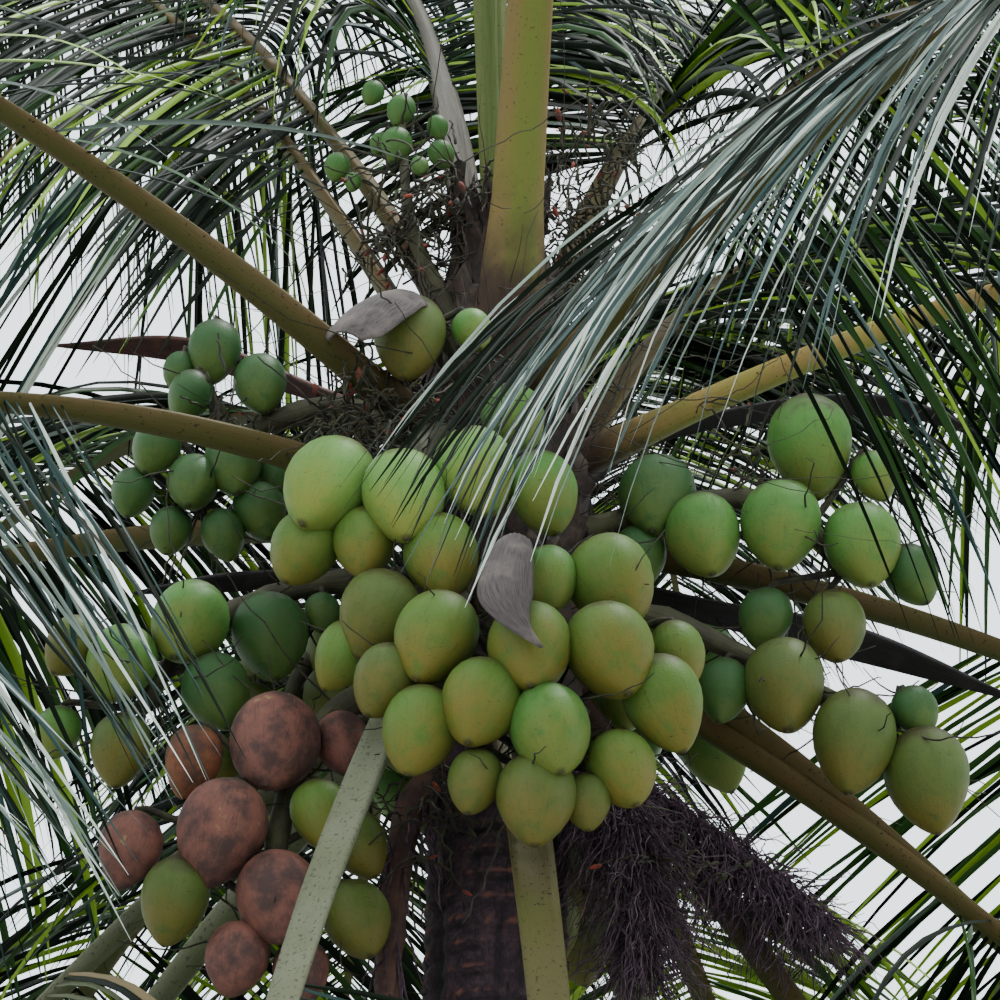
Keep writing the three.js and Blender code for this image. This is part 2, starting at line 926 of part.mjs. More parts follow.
for (const { name, solid } of placed) {
  const look = looks[name.split('_')[0]];
  const material = new THREE.MeshStandardMaterial({ ...look, metalness: 0 });
  const mesh = new THREE.Mesh(geometryOf(solid), material);
  mesh.name = name;
  root.add(mesh);
}

export default root;
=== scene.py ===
import math

import bpy
import numpy as np
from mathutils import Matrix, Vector, noise


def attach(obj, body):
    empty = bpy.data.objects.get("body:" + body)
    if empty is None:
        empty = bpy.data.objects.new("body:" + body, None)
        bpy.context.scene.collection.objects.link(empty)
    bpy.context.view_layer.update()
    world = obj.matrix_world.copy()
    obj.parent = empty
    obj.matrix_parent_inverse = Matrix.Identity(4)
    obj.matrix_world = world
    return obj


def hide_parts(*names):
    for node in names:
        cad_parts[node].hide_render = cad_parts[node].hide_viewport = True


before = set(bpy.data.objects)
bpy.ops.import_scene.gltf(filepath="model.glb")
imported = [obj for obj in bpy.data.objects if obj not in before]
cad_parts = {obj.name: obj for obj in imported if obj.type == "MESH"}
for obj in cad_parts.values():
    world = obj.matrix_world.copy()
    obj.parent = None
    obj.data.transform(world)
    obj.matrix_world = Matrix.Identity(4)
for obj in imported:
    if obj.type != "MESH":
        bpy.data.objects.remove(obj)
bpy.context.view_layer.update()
bpy.ops.object.select_all(action="DESELECT")

# A coconut palm around its CAD solids. Metres, +Z up, the seen side towards -Y.
# Sizes and rules are those of the solids, carried on to finer growth.

# Camera: it stands below the crown and looks up at it
LOOK_AT = (0.350, 0.300, 5.350)
LOOK_UP = 30.0
LOOK_DISTANCE = 7.5
LENS = 118.8

# Floor and light
FLOOR_SIZE = 400
FLOOR_GAP = 0.001
SOFT_LIGHT = 2.7
KEY_LIGHT = 4.0
KEY_WIDTH = 4
KEY_FROM = (0.30, 0.02, 0.95)

# Trunk
CROWN_X = 0.350
CROWN_Y = 0.300
LEAN_HEIGHT = 5.0
TRUNK_HEIGHTS = [0.0, 0.12, 0.3, 0.6, 1.2, 2.2, 3.2, 4.2, 4.7, 5.1, 5.45, 5.75, 6.0]
TRUNK_RADII = [0.275, 0.238, 0.206, 0.187, 0.173, 0.162, 0.155, 0.152, 0.155, 0.158, 0.150, 0.118, 0.058]
TRUNK_SIDES = 26
SCAR_SPACING = 0.056
SCAR_DEPTH = 0.009
FLARE_HEIGHT = 0.45
FLARE_WANDER = 0.022

# Fronds: an arc whose pitch falls from lift by bend along the length
SHANK_RADIUS = 0.150
BEND_POWER = 1.3
ARC_STEPS = 48
SHANK_HALF = 0.085
NECK_HALF = 0.046
NECK_RUN = 0.30
PETIOLE_HALF = 0.037
TIP_HALF = 0.006
RIB_ROWS = 96

# Leaflets
LEAF_LENGTH = 1.320
LEAF_CLOSING = 62
LEAF_PAIRS = 200
LEAF_ROWS = 9
NEAR_LEAF_HALF = 0.0090
FAR_LEAF_HALF = 0.0150
FOLD = 45.0
TRUNK_ROOM = 0.17

# Nuts hang down with a little swing, each from the nearest point of its bunch's stalk
NUT_DROOP = 3.0
NUT_SWING = 0.28
NUT_STEM = 1.17
STALK_ROWS = 22
LOOSE_TWIGS = 26

# name: azimuth, height, lift, bend, length, leaf tilt, rind, mix of leaf colours
FRONDS = {
    "front_right": (-70, 5.50, -8, 22, 4.4, -38, "tan", "sunlit"),
    "front_up": (-80, 5.72, 73, 60, 4.2, 10, "green", "fresh"),
    "left_high": (-136, 5.40, 19, 60, 4.4, -25, "tan", "fading"),
    "left_mid": (-148, 5.28, 4, 105, 4.3, -70, "tan", "curtain"),
    "right_high": (-4, 5.42, 28, 60, 4.3, -20, "light", "fresh"),
    "right_mid": (18, 5.27, -1, 64, 4.3, -25, "olive", "fresh"),
    "back_left_up": (154, 5.70, 65, 50, 4.3, -45, "tan", "dark"),
    "front_low": (-82, 4.78, -58, 34, 3.8, -35, "moss", "shaded"),
    "front_left_low": (-118, 5.10, -56, 40, 3.9, -35, "grey", "shaded"),
    "right_low": (22, 5.12, -27, 50, 4.2, -30, "olive", "dark"),
    "right_lower": (-6, 4.98, -36, 40, 4.2, -30, "olive", "dark"),
    "right_down": (18, 4.86, -50, 29, 4.0, -30, "olive", "old"),
    "back_right": (72, 5.09, -4, 54, 4.2, -20, "olive", "bright"),
    "back_right_steep": (54, 5.30, 63, 80, 4.3, 0, "olive", "dark"),
    "right_up": (12, 5.72, 62, 80, 4.3, 5, "olive", "dark"),
    "back_up": (108, 5.88, 76, 70, 4.2, 40, "shade", "shaded"),
    "back_high": (80, 5.60, 50, 75, 4.3, 0, "olive", "dark"),
    "back_left_high": (125, 5.52, 38, 70, 4.3, -10, "olive", "dark"),
    "back_left_steep": (148, 5.92, 64, 52, 4.2, -40, "tan", "dark"),
    "back_right_high": (60, 5.74, 68, 60, 4.2, 30, "olive", "dark"),
    "back_mid": (98, 5.38, 25, 65, 4.3, -15, "olive", "dark"),
    "back_left_mid": (160, 5.30, 12, 62, 4.3, -25, "olive", "fresh"),
    "back_left": (122, 5.18, 0, 58, 4.2, -25, "olive", "dark"),
    "back_low": (98, 4.98, -20, 50, 4.2, -30, "olive", "bright"),
    "back_left_low": (145, 4.95, -34, 45, 4.1, -30, "grey", "old"),
    "left_low": (182, 4.92, -42, 35, 4.0, -30, "grey", "old"),
    "back_right_low": (60, 4.85, -46, 40, 4.0, -30, "grey", "bright"),
}

# What a frond has unless it says otherwise: where its leaflets begin, how stout its petiole is,
# how far a leaflet bends down, its angle from the rib at the petiole and the most it may be, and
# the share of the leaflets that is left on either side
FROND_RULE = {"petiole": 1.05, "girth": 1.0, "sag": 0.6, "sweep": 100, "most": 180, "left": (0.98, 0.98)}

# Where a frond differs. Half is a leaflet's half width and left the share that is left, both only
# over the inner part, and second is the mix of colours of the side that hangs in the shade
INNER_SHARE = 0.5
OWN_RULES = {
    "front_right": {"second": "dusk"},
    "front_up": {"girth": 1.3},
    "left_high": {"petiole": 0.88, "sag": 0.30, "half": 0.0064, "left": (0.98, 0.22), "second": "dark"},
    "left_mid": {
        "petiole": 0.95, "sag": 0.15, "sweep": 125, "most": 100, "half": 0.0068, "left": (0.35, 0.98),
    },
    "right_mid": {"sag": 0.30, "sweep": 125, "left": (0.12, 0.90)},
    "back_left_up": {"petiole": 0.80, "sag": 0.45, "sweep": 125, "half": 0.0092, "left": (0.30, 0.95)},
    "front_low": {"petiole": 1.40},
    "front_left_low": {"petiole": 1.40},
    "right_low": {"left": (0.25, 0.50)},
    "right_lower": {"left": (0.12, 0.50)},
    "back_up": {"sag": 0.90, "half": 0.0105},
    "back_left_steep": {"petiole": 0.80, "sag": 0.45, "sweep": 120, "half": 0.0105, "left": (0.50, 0.95)},
    "back_left_mid": {"left": (0.50, 0.60)},
    "back_left": {"left": (0.60, 0.60)},
    "back_low": {"half": 0.0190},
    "back_left_low": {"left": (0.60, 0.60)},
    "left_low": {"left": (0.55, 0.55)},
    "back_right_low": {"half": 0.0190},
}

# How the leaf colours are dealt out within a mix
LEAF_MIXES = {
    "sunlit": {"silver_and_sunlit": 0.22, "blue": 0.16, "deep": 0.46, "painted_glint": 0.16},
    "dusk": {"deep": 0.60, "green": 0.22, "bright": 0.10, "blue": 0.08},
    "fading": {"silver_and_sunlit": 0.20, "deep": 0.46, "blue": 0.14, "painted_glint": 0.16, "dry": 0.04},
    "fresh": {"green": 0.54, "deep": 0.28, "bright": 0.15, "blue": 0.03},
    "curtain": {"blue": 0.34, "deep": 0.30, "silver_and_sunlit": 0.24, "painted_glint": 0.12},
    "shaded": {"blue": 0.10, "deep": 0.70, "green": 0.14, "bright": 0.06},
    "dark": {"deep": 0.65, "green": 0.20, "silver_and_sunlit": 0.02, "bright": 0.13},
    # Leaflets lit through from behind: painted backlight
    "bright": {"glow": 0.34, "bright": 0.38, "green": 0.28},
    "old": {"olive": 0.36, "deep": 0.34, "green": 0.18, "dry": 0.12},
}

SPEAR_HEIGHT = 5.930
SPEAR_LENGTH = 3.100

# Bunches, from the crown's axis: the stalk's points with their radius, then the nuts
# with their half width and husk
BUNCHES = {
    "front_upper": {
        "stalk": [
            (-0.050, -0.120, 5.330, 0.030),
            (-0.130, -0.320, 5.330, 0.030),
            (-0.190, -0.420, 5.180, 0.028),
            (-0.200, -0.440, 5.000, 0.020),
        ],
        "nuts": [
            (-0.360, -0.540, 5.070, 0.094, "light"),
            (-0.200, -0.580, 5.020, 0.088, "light"),
            (-0.050, -0.560, 5.090, 0.086, "light"),
            (0.090, -0.530, 5.060, 0.074, "green"),
            (-0.410, -0.490, 4.950, 0.072, "lime"),
            (-0.280, -0.530, 4.940, 0.066, "lime"),
            (-0.120, -0.560, 4.890, 0.078, "lime"),
            (0.030, -0.420, 5.310, 0.068, "green"),
        ],
    },
    "front_lower": {
        "stalk": [
            (0.060, -0.120, 5.000, 0.032),
            (0.080, -0.330, 4.980, 0.032),
            (0.030, -0.440, 4.820, 0.030),
            (0.030, -0.490, 4.620, 0.026),
            (0.050, -0.490, 4.440, 0.020),
        ],
        "nuts": [
            (-0.250, -0.550, 4.760, 0.084, "olive"),
            (-0.320, -0.510, 4.690, 0.060, "lime"),
            (-0.230, -0.610, 4.580, 0.066, "olive"),
            (-0.130, -0.640, 4.660, 0.084, "lime"),
            (-0.160, -0.630, 4.460, 0.076, "lime"),
            (-0.040, -0.670, 4.500, 0.080, "lime"),
            (0.060, -0.670, 4.620, 0.085, "lime"),
            (0.100, -0.610, 4.810, 0.060, "green"),
            (0.230, -0.580, 4.820, 0.090, "lime"),
            (0.220, -0.640, 4.630, 0.090, "lime"),
            (0.360, -0.550, 4.670, 0.058, "lime"),
            (0.330, -0.590, 4.540, 0.080, "lime"),
            (0.100, -0.670, 4.440, 0.080, "green"),
            (0.240, -0.600, 4.390, 0.070, "lime"),
            (0.070, -0.630, 4.310, 0.080, "olive"),
            (-0.050, -0.630, 4.350, 0.054, "olive"),
            (0.170, -0.600, 4.320, 0.050, "olive"),
        ],
        "bract": [
            (0.040, -0.430, 4.850, 0.020),
            (0.034, -0.600, 4.900, 0.026),
            (0.024, -0.720, 4.830, 0.040),
            (0.010, -0.770, 4.710, 0.054),
            (0.030, -0.790, 4.630, 0.036),
            (0.080, -0.795, 4.560, 0.004),
        ],
        "facing": (0.0, -0.6, 0.8),
    },
    "left_upper": {
        "stalk": [
            (-0.115, -0.035, 5.440, 0.028),
            (-0.350, -0.020, 5.580, 0.026),
            (-0.530, -0.020, 5.540, 0.024),
            (-0.640, -0.020, 5.450, 0.022),
            (-0.680, -0.020, 5.320, 0.016),
        ],
        "nuts": [
            (-0.660, -0.060, 5.710, 0.062, "deep"),
            (-0.740, -0.040, 5.670, 0.040, "deep"),
            (-0.550, -0.060, 5.620, 0.062, "deep"),
            (-0.710, -0.090, 5.570, 0.050, "deep"),
            (-0.780, -0.090, 5.430, 0.056, "deep"),
            (-0.600, -0.090, 5.390, 0.066, "deep"),
            (-0.690, -0.090, 5.340, 0.060, "deep"),
            (-0.830, -0.050, 5.340, 0.050, "deep"),
            (-0.540, -0.050, 5.290, 0.060, "deep"),
            (-0.740, -0.050, 5.240, 0.048, "deep"),
            (-0.510, -0.020, 5.400, 0.046, "deep"),
            (-0.620, -0.050, 5.230, 0.050, "deep"),
        ],
    },
    "left_lower": {
        "stalk": [
            (-0.110, -0.020, 5.090, 0.030),
            (-0.350, -0.070, 5.100, 0.028),
            (-0.560, -0.120, 5.010, 0.026),
            (-0.700, -0.150, 4.870, 0.022),
            (-0.770, -0.160, 4.740, 0.016),
        ],
        "nuts": [
            (-0.670, -0.210, 4.920, 0.084, "green"),
            (-0.500, -0.130, 4.930, 0.084, "deep"),
            (-0.600, -0.220, 4.750, 0.074, "deep"),
            (-0.810, -0.230, 4.810, 0.076, "green"),
            (-0.920, -0.200, 4.870, 0.060, "olive"),
            (-0.800, -0.210, 4.620, 0.064, "olive"),
            (-0.940, -0.170, 4.680, 0.050, "green"),
            (-0.390, -0.110, 5.000, 0.040, "deep"),
        ],
    },
    "brown": {
        "stalk": [
            (-0.110, -0.070, 4.830, 0.030),
            (-0.260, -0.150, 4.800, 0.030),
            (-0.400, -0.210, 4.640, 0.028),
            (-0.460, -0.230, 4.420, 0.024),
            (-0.460, -0.230, 4.240, 0.018),
        ],
        "nuts": [
            (-0.470, -0.300, 4.590, 0.096, "ripe"),
            (-0.570, -0.320, 4.380, 0.092, "ripe"),
            (-0.450, -0.310, 4.240, 0.086, "ripe"),
            (-0.640, -0.280, 4.560, 0.060, "orange"),
            (-0.760, -0.280, 4.360, 0.066, "ripe"),
            (-0.660, -0.300, 4.240, 0.070, "olive"),
            (-0.370, -0.300, 4.430, 0.062, "lime"),
            (-0.290, -0.240, 4.390, 0.060, "olive"),
            (-0.290, -0.270, 4.210, 0.070, "olive"),
            (-0.530, -0.280, 4.120, 0.066, "ripe"),
            (-0.330, -0.240, 4.620, 0.058, "ripe"),
            (-0.400, -0.260, 4.100, 0.058, "ripe"),
        ],
    },
    "right_upper": {
        "stalk": [
            (0.118, -0.045, 5.220, 0.030),
            (0.330, -0.070, 5.270, 0.028),
            (0.550, -0.090, 5.300, 0.026),
            (0.690, -0.080, 5.230, 0.022),
            (0.760, -0.080, 5.120, 0.016),
        ],
        "nuts": [
            (0.700, -0.120, 5.420, 0.096, "green"),
            (0.840, -0.120, 5.340, 0.050, "green"),
            (0.350, -0.110, 5.290, 0.088, "deep"),
            (0.450, -0.150, 5.170, 0.084, "green"),
            (0.620, -0.160, 5.190, 0.090, "green"),
            (0.800, -0.140, 5.150, 0.086, "green"),
            (0.910, -0.100, 5.100, 0.060, "deep"),
            (0.310, -0.090, 5.150, 0.060, "deep"),
            (0.730, -0.120, 4.960, 0.070, "olive"),
            (0.580, -0.120, 4.980, 0.060, "deep"),
        ],
    },
    "right_lower": {
        "stalk": [
            (0.110, -0.060, 5.050, 0.028),
            (0.330, -0.120, 4.990, 0.026),
            (0.520, -0.130, 4.890, 0.024),
            (0.700, -0.120, 4.790, 0.020),
            (0.840, -0.120, 4.720, 0.014),
        ],
        "nuts": [
            (0.610, -0.170, 4.790, 0.088, "olive"),
            (0.750, -0.170, 4.660, 0.090, "olive"),
            (0.910, -0.130, 4.590, 0.092, "olive"),
            (0.890, -0.150, 4.740, 0.050, "deep"),
            (0.480, -0.150, 4.790, 0.058, "deep"),
        ],
    },
    "under_bract": {
        "stalk": [
            (-0.070, -0.090, 5.530, 0.024),
            (-0.110, -0.210, 5.620, 0.024),
            (-0.140, -0.310, 5.630, 0.020),
        ],
        "nuts": [
            (-0.200, -0.350, 5.560, 0.080, "olive"),
            (-0.060, -0.350, 5.580, 0.045, "green"),
        ],
        "bract": [
            (-0.130, -0.290, 5.640, 0.018),
            (-0.205, -0.390, 5.640, 0.040),
            (-0.268, -0.455, 5.575, 0.054),
            (-0.320, -0.490, 5.500, 0.050),
            (-0.338, -0.500, 5.470, 0.030),
        ],
        "facing": (-0.2, -0.75, 0.6),
    },
    "young": {
        "stalk": [
            (-0.060, -0.030, 5.750, 0.020),
            (-0.150, -0.060, 5.900, 0.018),
            (-0.210, -0.070, 6.050, 0.016),
            (-0.230, -0.060, 6.250, 0.012),
            (-0.240, -0.060, 6.420, 0.008),
        ],
        "nuts": [
            (-0.310, -0.050, 6.460, 0.028, "young"),
            (-0.240, -0.060, 6.400, 0.035, "young"),
            (-0.250, -0.070, 6.290, 0.038, "young"),
            (-0.140, -0.060, 6.270, 0.032, "young"),
            (-0.150, -0.060, 6.350, 0.026, "young"),
            (-0.390, -0.050, 6.240, 0.032, "young"),
            (-0.350, -0.060, 6.190, 0.022, "young"),
            (-0.290, -0.020, 6.330, 0.026, "young"),
            (-0.190, -0.110, 6.200, 0.022, "young"),
        ],
    },
}

# Bunches on the far side follow one rule: azimuth, height, half width of a nut, husk
FAR_BUNCHES = {
    "far_right": (44, 5.190, 0.084, "green"),
    "far_middle": (86, 5.240, 0.078, "lime"),
    "far_left": (136, 5.080, 0.080, "green"),
    "far_low_left": (168, 5.050, 0.070, "olive"),
    "far_low": (86, 4.780, 0.086, "olive"),
}
FAR_NUTS = 11
FAR_REACH = 0.430
GOLDEN_ANGLE = 137.5

# Woody bracts: across, depth, height, half width
BRACTS = {
    "left_high": [
        (-0.115, 0.025, 5.525, 0.020),
        (-0.400, 0.100, 5.690, 0.030),
        (-0.735, 0.100, 5.825, 0.046),
        (-1.045, 0.060, 5.805, 0.004),
    ],
    "left_low": [
        (-0.110, 0.040, 5.190, 0.022),
        (-0.390, 0.060, 5.190, 0.026),
        (-0.620, 0.040, 5.165, 0.034),
        (-0.820, 0.010, 5.115, 0.004),
    ],
    "right_high": [
        (0.110, 0.050, 5.330, 0.022),
        (0.330, 0.090, 5.560, 0.026),
        (0.600, 0.100, 5.650, 0.034),
        (0.850, 0.100, 5.675, 0.036),
        (1.010, 0.090, 5.635, 0.026),
        (1.140, 0.080, 5.555, 0.004),
    ],
    "right_low": [
        (0.120, 0.028, 5.195, 0.022),
        (0.450, 0.170, 5.170, 0.040),
        (0.820, 0.250, 5.125, 0.060),
        (1.190, 0.280, 4.980, 0.005),
    ],
}

# Hanging fibre and one dead stalk: across, depth, height, radius
HANGINGS = {
    "fibre_front": [
        (0.080, -0.090, 4.740, 0.050),
        (0.190, -0.150, 4.640, 0.070),
        (0.260, -0.180, 4.460, 0.105),
        (0.290, -0.190, 4.270, 0.085),
        (0.290, -0.190, 4.080, 0.015),
    ],
    "fibre_right": [
        (0.110, 0.000, 4.700, 0.040),
        (0.270, -0.010, 4.640, 0.045),
        (0.430, -0.010, 4.530, 0.062),
        (0.590, 0.000, 4.400, 0.080),
        (0.740, 0.010, 4.270, 0.015),
    ],
    "stalk_dead": [
        (-0.100, -0.060, 4.660, 0.042),
        (-0.190, -0.120, 4.520, 0.034),
        (-0.225, -0.140, 4.250, 0.030),
        (-0.235, -0.140, 3.900, 0.024),
    ],
}

UP = np.array([0.0, 0.0, 1.0])


# Places and paths
def unit(vectors):
    return vectors / np.maximum(np.linalg.norm(vectors, axis=-1, keepdims=True), 1e-9)


def dot(a, b):
    return np.sum(a * b, axis=-1, keepdims=True)


def in_crown(rows):
    """Points measured from the crown's axis, in the shared frame."""
    rows = np.asarray(rows, float)
    return rows[..., :3] + [CROWN_X, CROWN_Y, 0.0]


def axis_at(height):
    """The trunk's axis leans out from the foot and stands upright under the crown."""
    rise = np.minimum(np.asarray(height) / LEAN_HEIGHT, 1.0)
    share = 1 - (1 - rise) ** 2
    return np.stack([CROWN_X * share, CROWN_Y * share, np.asarray(height) + 0 * share], -1)


def smooth_path(points, rows):
    """An even curve that passes through all of a few points, in every column."""
    points = np.asarray(points, float)
    padded = np.concatenate([2 * points[:1] - points[1:2], points, 2 * points[-1:] - points[-2:-1]])
    at = np.linspace(0, len(points) - 1, rows)
    index = np.minimum(at.astype(int), len(points) - 2)
    t = (at - index)[:, None]
    p0, p1, p2, p3 = (padded[index + k] for k in range(4))
    linear_part = 2 * p1 + (p2 - p0) * t
    return 0.5 * (linear_part + (2 * p0 - 5 * p1 + 4 * p2 - p3) * t**2 + (3 * p1 - p0 - 3 * p2 + p3) * t**3)


def thick_path(rows, count):
    """A smooth line through a few rows of place and half width, measured from the crown's axis."""
    return smooth_path(np.concatenate([in_crown(rows), np.array(rows)[:, 3:]], 1), count)


def turns_of(count):
    """Even turns once round."""
    return np.arange(count) / count * 2 * np.pi


def places_of(mesh):
    """The places of a mesh's vertices."""
    flat = np.zeros(len(mesh.vertices) * 3)
    mesh.vertices.foreach_get("co", flat)
    return flat.reshape(-1, 3)


def run_along(paths):
    ahead = np.concatenate([paths[:, 1:], paths[:, -1:]], 1)
    behind = np.concatenate([paths[:, :1], paths[:, :-1]], 1)
    return unit(ahead - behind)


# Many small parts that end in one piece
class Growth:
    def __init__(self):
        self.points = []
        self.faces = {}
        self.count = 0

    def keep(self, corners, slots, maps):
        self.faces.setdefault(corners.shape[1], []).append((corners, slots, maps))

    def grid(self, points, closed, slots=0, along=None, caps=False):
        """Grids of points, each row across or around the growth; maps run around and along in metres."""
        many, rows, cols = points.shape[:3]
        wide = cols if closed else cols - 1
        r = np.arange(rows - 1)[:, None] + np.zeros((1, wide), int)
        c = np.arange(wide)[None, :] + np.zeros((rows - 1, 1), int)
        beside = (c + 1) % cols
        quad = np.stack([r * cols + c, r * cols + beside, (r + 1) * cols + beside, (r + 1) * cols + c], -1)
        start = self.count + np.arange(many)[:, None] * rows * cols
        corners = (start[:, :, None] + quad.reshape(1, -1, 4)).reshape(-1, 4)
        slots = np.broadcast_to(np.asarray(slots), (many,))
        if along is None:
            step = np.linalg.norm(np.diff(points.mean(2), axis=1), axis=-1)
            along = np.concatenate([np.zeros((many, 1)), np.cumsum(step, 1)], 1)
        u = np.stack([c, c + 1, c + 1, c], -1).reshape(-1, 4) / max(wide, 1)
        v_row = np.stack([r, r, r + 1, r + 1], -1).reshape(-1, 4)
        maps = np.stack([np.broadcast_to(u, (many, *u.shape)), along[:, v_row]], -1).reshape(-1, 4, 2)
        self.keep(corners, np.repeat(slots, len(quad.reshape(-1, 4))), maps)
        if caps:
            ends = np.arange(cols)
            low = start + ends[::-1]
            high = start + (rows - 1) * cols + ends
            for corners, row in ((low, 0), (high, rows - 1)):
                place = np.broadcast_to((ends / cols)[None, :, None], (many, cols, 1))
                height = np.broadcast_to(along[:, row, None, None], (many, cols, 1))
                self.keep(corners, slots, np.concatenate([place, height], -1))
        self.points.append(points.reshape(-1, 3))
        self.count += many * rows * cols

    def piece(self, name, materials, smooth=True):
        """One mesh object of all that has grown."""
        points = np.concatenate(self.points)
        corners, totals, slots, maps = [], [], [], []
        for size, groups in self.faces.items():
            for face, slot, place in groups:
                corners.append(face.ravel())
                totals.append(np.full(len(face), size))
                slots.append(slot)
                maps.append(place.reshape(-1, 2))
        corners, totals = np.concatenate(corners), np.concatenate(totals)
        mesh = bpy.data.meshes.new(name)
        mesh.vertices.add(len(points))
        mesh.vertices.foreach_set("co", points.astype(np.float32).ravel())
        mesh.loops.add(len(corners))
        mesh.loops.foreach_set("vertex_index", corners.astype(np.int32))
        mesh.polygons.add(len(totals))
        mesh.polygons.foreach_set("loop_start", (np.cumsum(totals) - totals).astype(np.int32))
        mesh.polygons.foreach_set("material_index", np.concatenate(slots).astype(np.int32))
        mesh.polygons.foreach_set("use_smooth", np.full(len(totals), smooth))
        skin = mesh.uv_layers.new(name="skin")
        skin.data.foreach_set("uv", np.concatenate(maps).astype(np.float32).ravel())
        mesh.update(calc_edges=True)
        mesh.validate()
        for material in materials:
            mesh.materials.append(material)
        made = bpy.data.objects.new(name, mesh)
        bpy.context.scene.collection.objects.link(made)
        return made


def add_limbs(growth, paths, radii, sides, slots=0, caps=True):
    """Round limbs; each ring is turned as little as its run allows."""
    along = run_along(paths)
    first = along[:, 0]
    aside = np.where(np.abs(first[:, 2:]) > 0.9, [[0.0, 1.0, 0.0]], [[0.0, 0.0, 1.0]])
    across = unit(np.cross(aside, first))
    turn = turns_of(sides)
    rings = []
    for k in range(paths.shape[1]):
        across = unit(across - along[:, k] * dot(across, along[:, k]))
        over = np.cross(along[:, k], across)
        ring = np.cos(turn)[:, None] * across[:, None] + np.sin(turn)[:, None] * over[:, None]
        rings.append(paths[:, k, None] + radii[:, k, None, None] * ring)
    growth.grid(np.stack(rings, 1), True, slots, caps=caps)


def add_knotty(growth, line, unevenness, sides, luck):
    """A limb along a thick path, a little thicker and thinner along its way."""
    knots = 1 + unevenness * luck.normal(0, 1, len(line))
    add_limbs(growth, line[None, :, :3], (line[:, 3] * knots)[None], sides)


def add_strand(growth, line, thick, thin, sides, slot=0):
    """One thin limb along a line that thins evenly."""
    add_limbs(growth, line[None], np.linspace(thick, thin, len(line))[None], sides, slot)


def stand_for(piece, slot, *nodes):
    """The piece rides on the tree's one body and hides the solids it stands for; its slot is not used."""
    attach(piece, "root")
    if nodes:
        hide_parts(*nodes)
    return piece


# Materials
def linear(code):
    """An sRGB hex colour as linear light."""
    parts = [int(code[i : i + 2], 16) / 255 for i in (1, 3, 5)]
    return tuple(p / 12.92 if p <= 0.04045 else ((p + 0.055) / 1.055) ** 2.4 for p in parts) + (1.0,)


def add_node(tree, kind, inputs=None, **settings):
    """One shader node with its settings; an input is a value or the socket that feeds it."""
    made = tree.nodes.new(kind)
    for key, value in settings.items():
        setattr(made, key, value)
    for key, value in (inputs or {}).items():
        if isinstance(value, bpy.types.NodeSocket):
            tree.links.new(value, made.inputs[key])
        else:
            made.inputs[key].default_value = value
    return made


def new_finish(name):
    material = bpy.data.materials.new(name)
    material.use_nodes = True
    material.node_tree.nodes.clear()
    return material, material.node_tree


def blend_colours(tree, share, low, high):
    """Goes from the colour low to the colour high as share goes from 0 to 1."""
    return add_node(tree, "ShaderNodeMix", {0: share, 6: low, 7: high}, data_type="RGBA").outputs[2]


def spread_share(tree, value, low, high):
    """A 0 to 1 share from where a value lies between low and high."""
    settings = {"Value": value, "From Min": low, "From Max": high}
    return add_node(tree, "ShaderNodeMapRange", settings, interpolation_type="SMOOTHSTEP").outputs[0]


def tint(tree, colour, value, low, high, code, most=1.0):
    """Goes over to another colour, by most at the most, as a value goes from low to high."""
    share = spread_share(tree, value, low, high)
    if most < 1.0:
        share = reckon(tree, "MULTIPLY", share, most)
    return blend_colours(tree, share, colour, linear(code))


def reckon(tree, operation, *values):
    """What a Math node makes of its values."""
    return add_node(tree, "ShaderNodeMath", dict(enumerate(values)), operation=operation).outputs[0]


def spread_rough(tree, value, low, high):
    """A roughness between low and high that follows a value from 0 to 1."""
    return add_node(tree, "ShaderNodeMapRange", {"Value": value, "To Min": low, "To Max": high}).outputs[0]


def own_place(tree):
    """Place on the piece itself, in metres."""
    return add_node(tree, "ShaderNodeTexCoord").outputs["Object"]


def skin_place(tree):
    """Place on the piece's own map, and how far along the piece that is."""
    place = add_node(tree, "ShaderNodeUVMap", uv_map="skin").outputs[0]
    return place, add_node(tree, "ShaderNodeSeparateXYZ", {"Vector": place}).outputs


def drawn_out(tree, place, *scale):
    """A place for a pattern that is drawn out along the axes whose scale is small."""
    return add_node(tree, "ShaderNodeMapping", {"Vector": place, "Scale": scale}).outputs[0]


def fractal(tree, place, size_mm, detail=4.0, roughness=0.55, distortion=0.0):
    """Noise whose largest shapes are size_mm across."""
    settings = {
        "Vector": place,
        "Scale": 1000.0 / size_mm,
        "Detail": detail,
        "Roughness": roughness,
        "Distortion": distortion,
    }
    return add_node(tree, "ShaderNodeTexNoise", settings).outputs[0]


def finish_surface(tree, colour, roughness, bump=None, bump_mm=0.5, shine=0.5):
    """The surface shader, with a bump whose height is in millimetres."""
    inputs = {"Base Color": colour, "Roughness": roughness, "Specular IOR Level": shine}
    if bump is not None:
        relief = {"Height": bump, "Distance": bump_mm / 1000.0, "Strength": 1.0}
        inputs["Normal"] = add_node(tree, "ShaderNodeBump", relief).outputs[0]
    shader = add_node(tree, "ShaderNodeBsdfPrincipled", inputs)
    add_node(tree, "ShaderNodeOutputMaterial", {"Surface": shader.outputs[0]})


def leaf_finish(name, code, roughness, shine=0.28):
    """Living palm leaflet: a thin waxy blade, so a plain colour with a soft gloss."""
    material, tree = new_finish("leaflet_" + name)
    finish_surface(tree, linear(code), roughness, shine=shine)
    return material


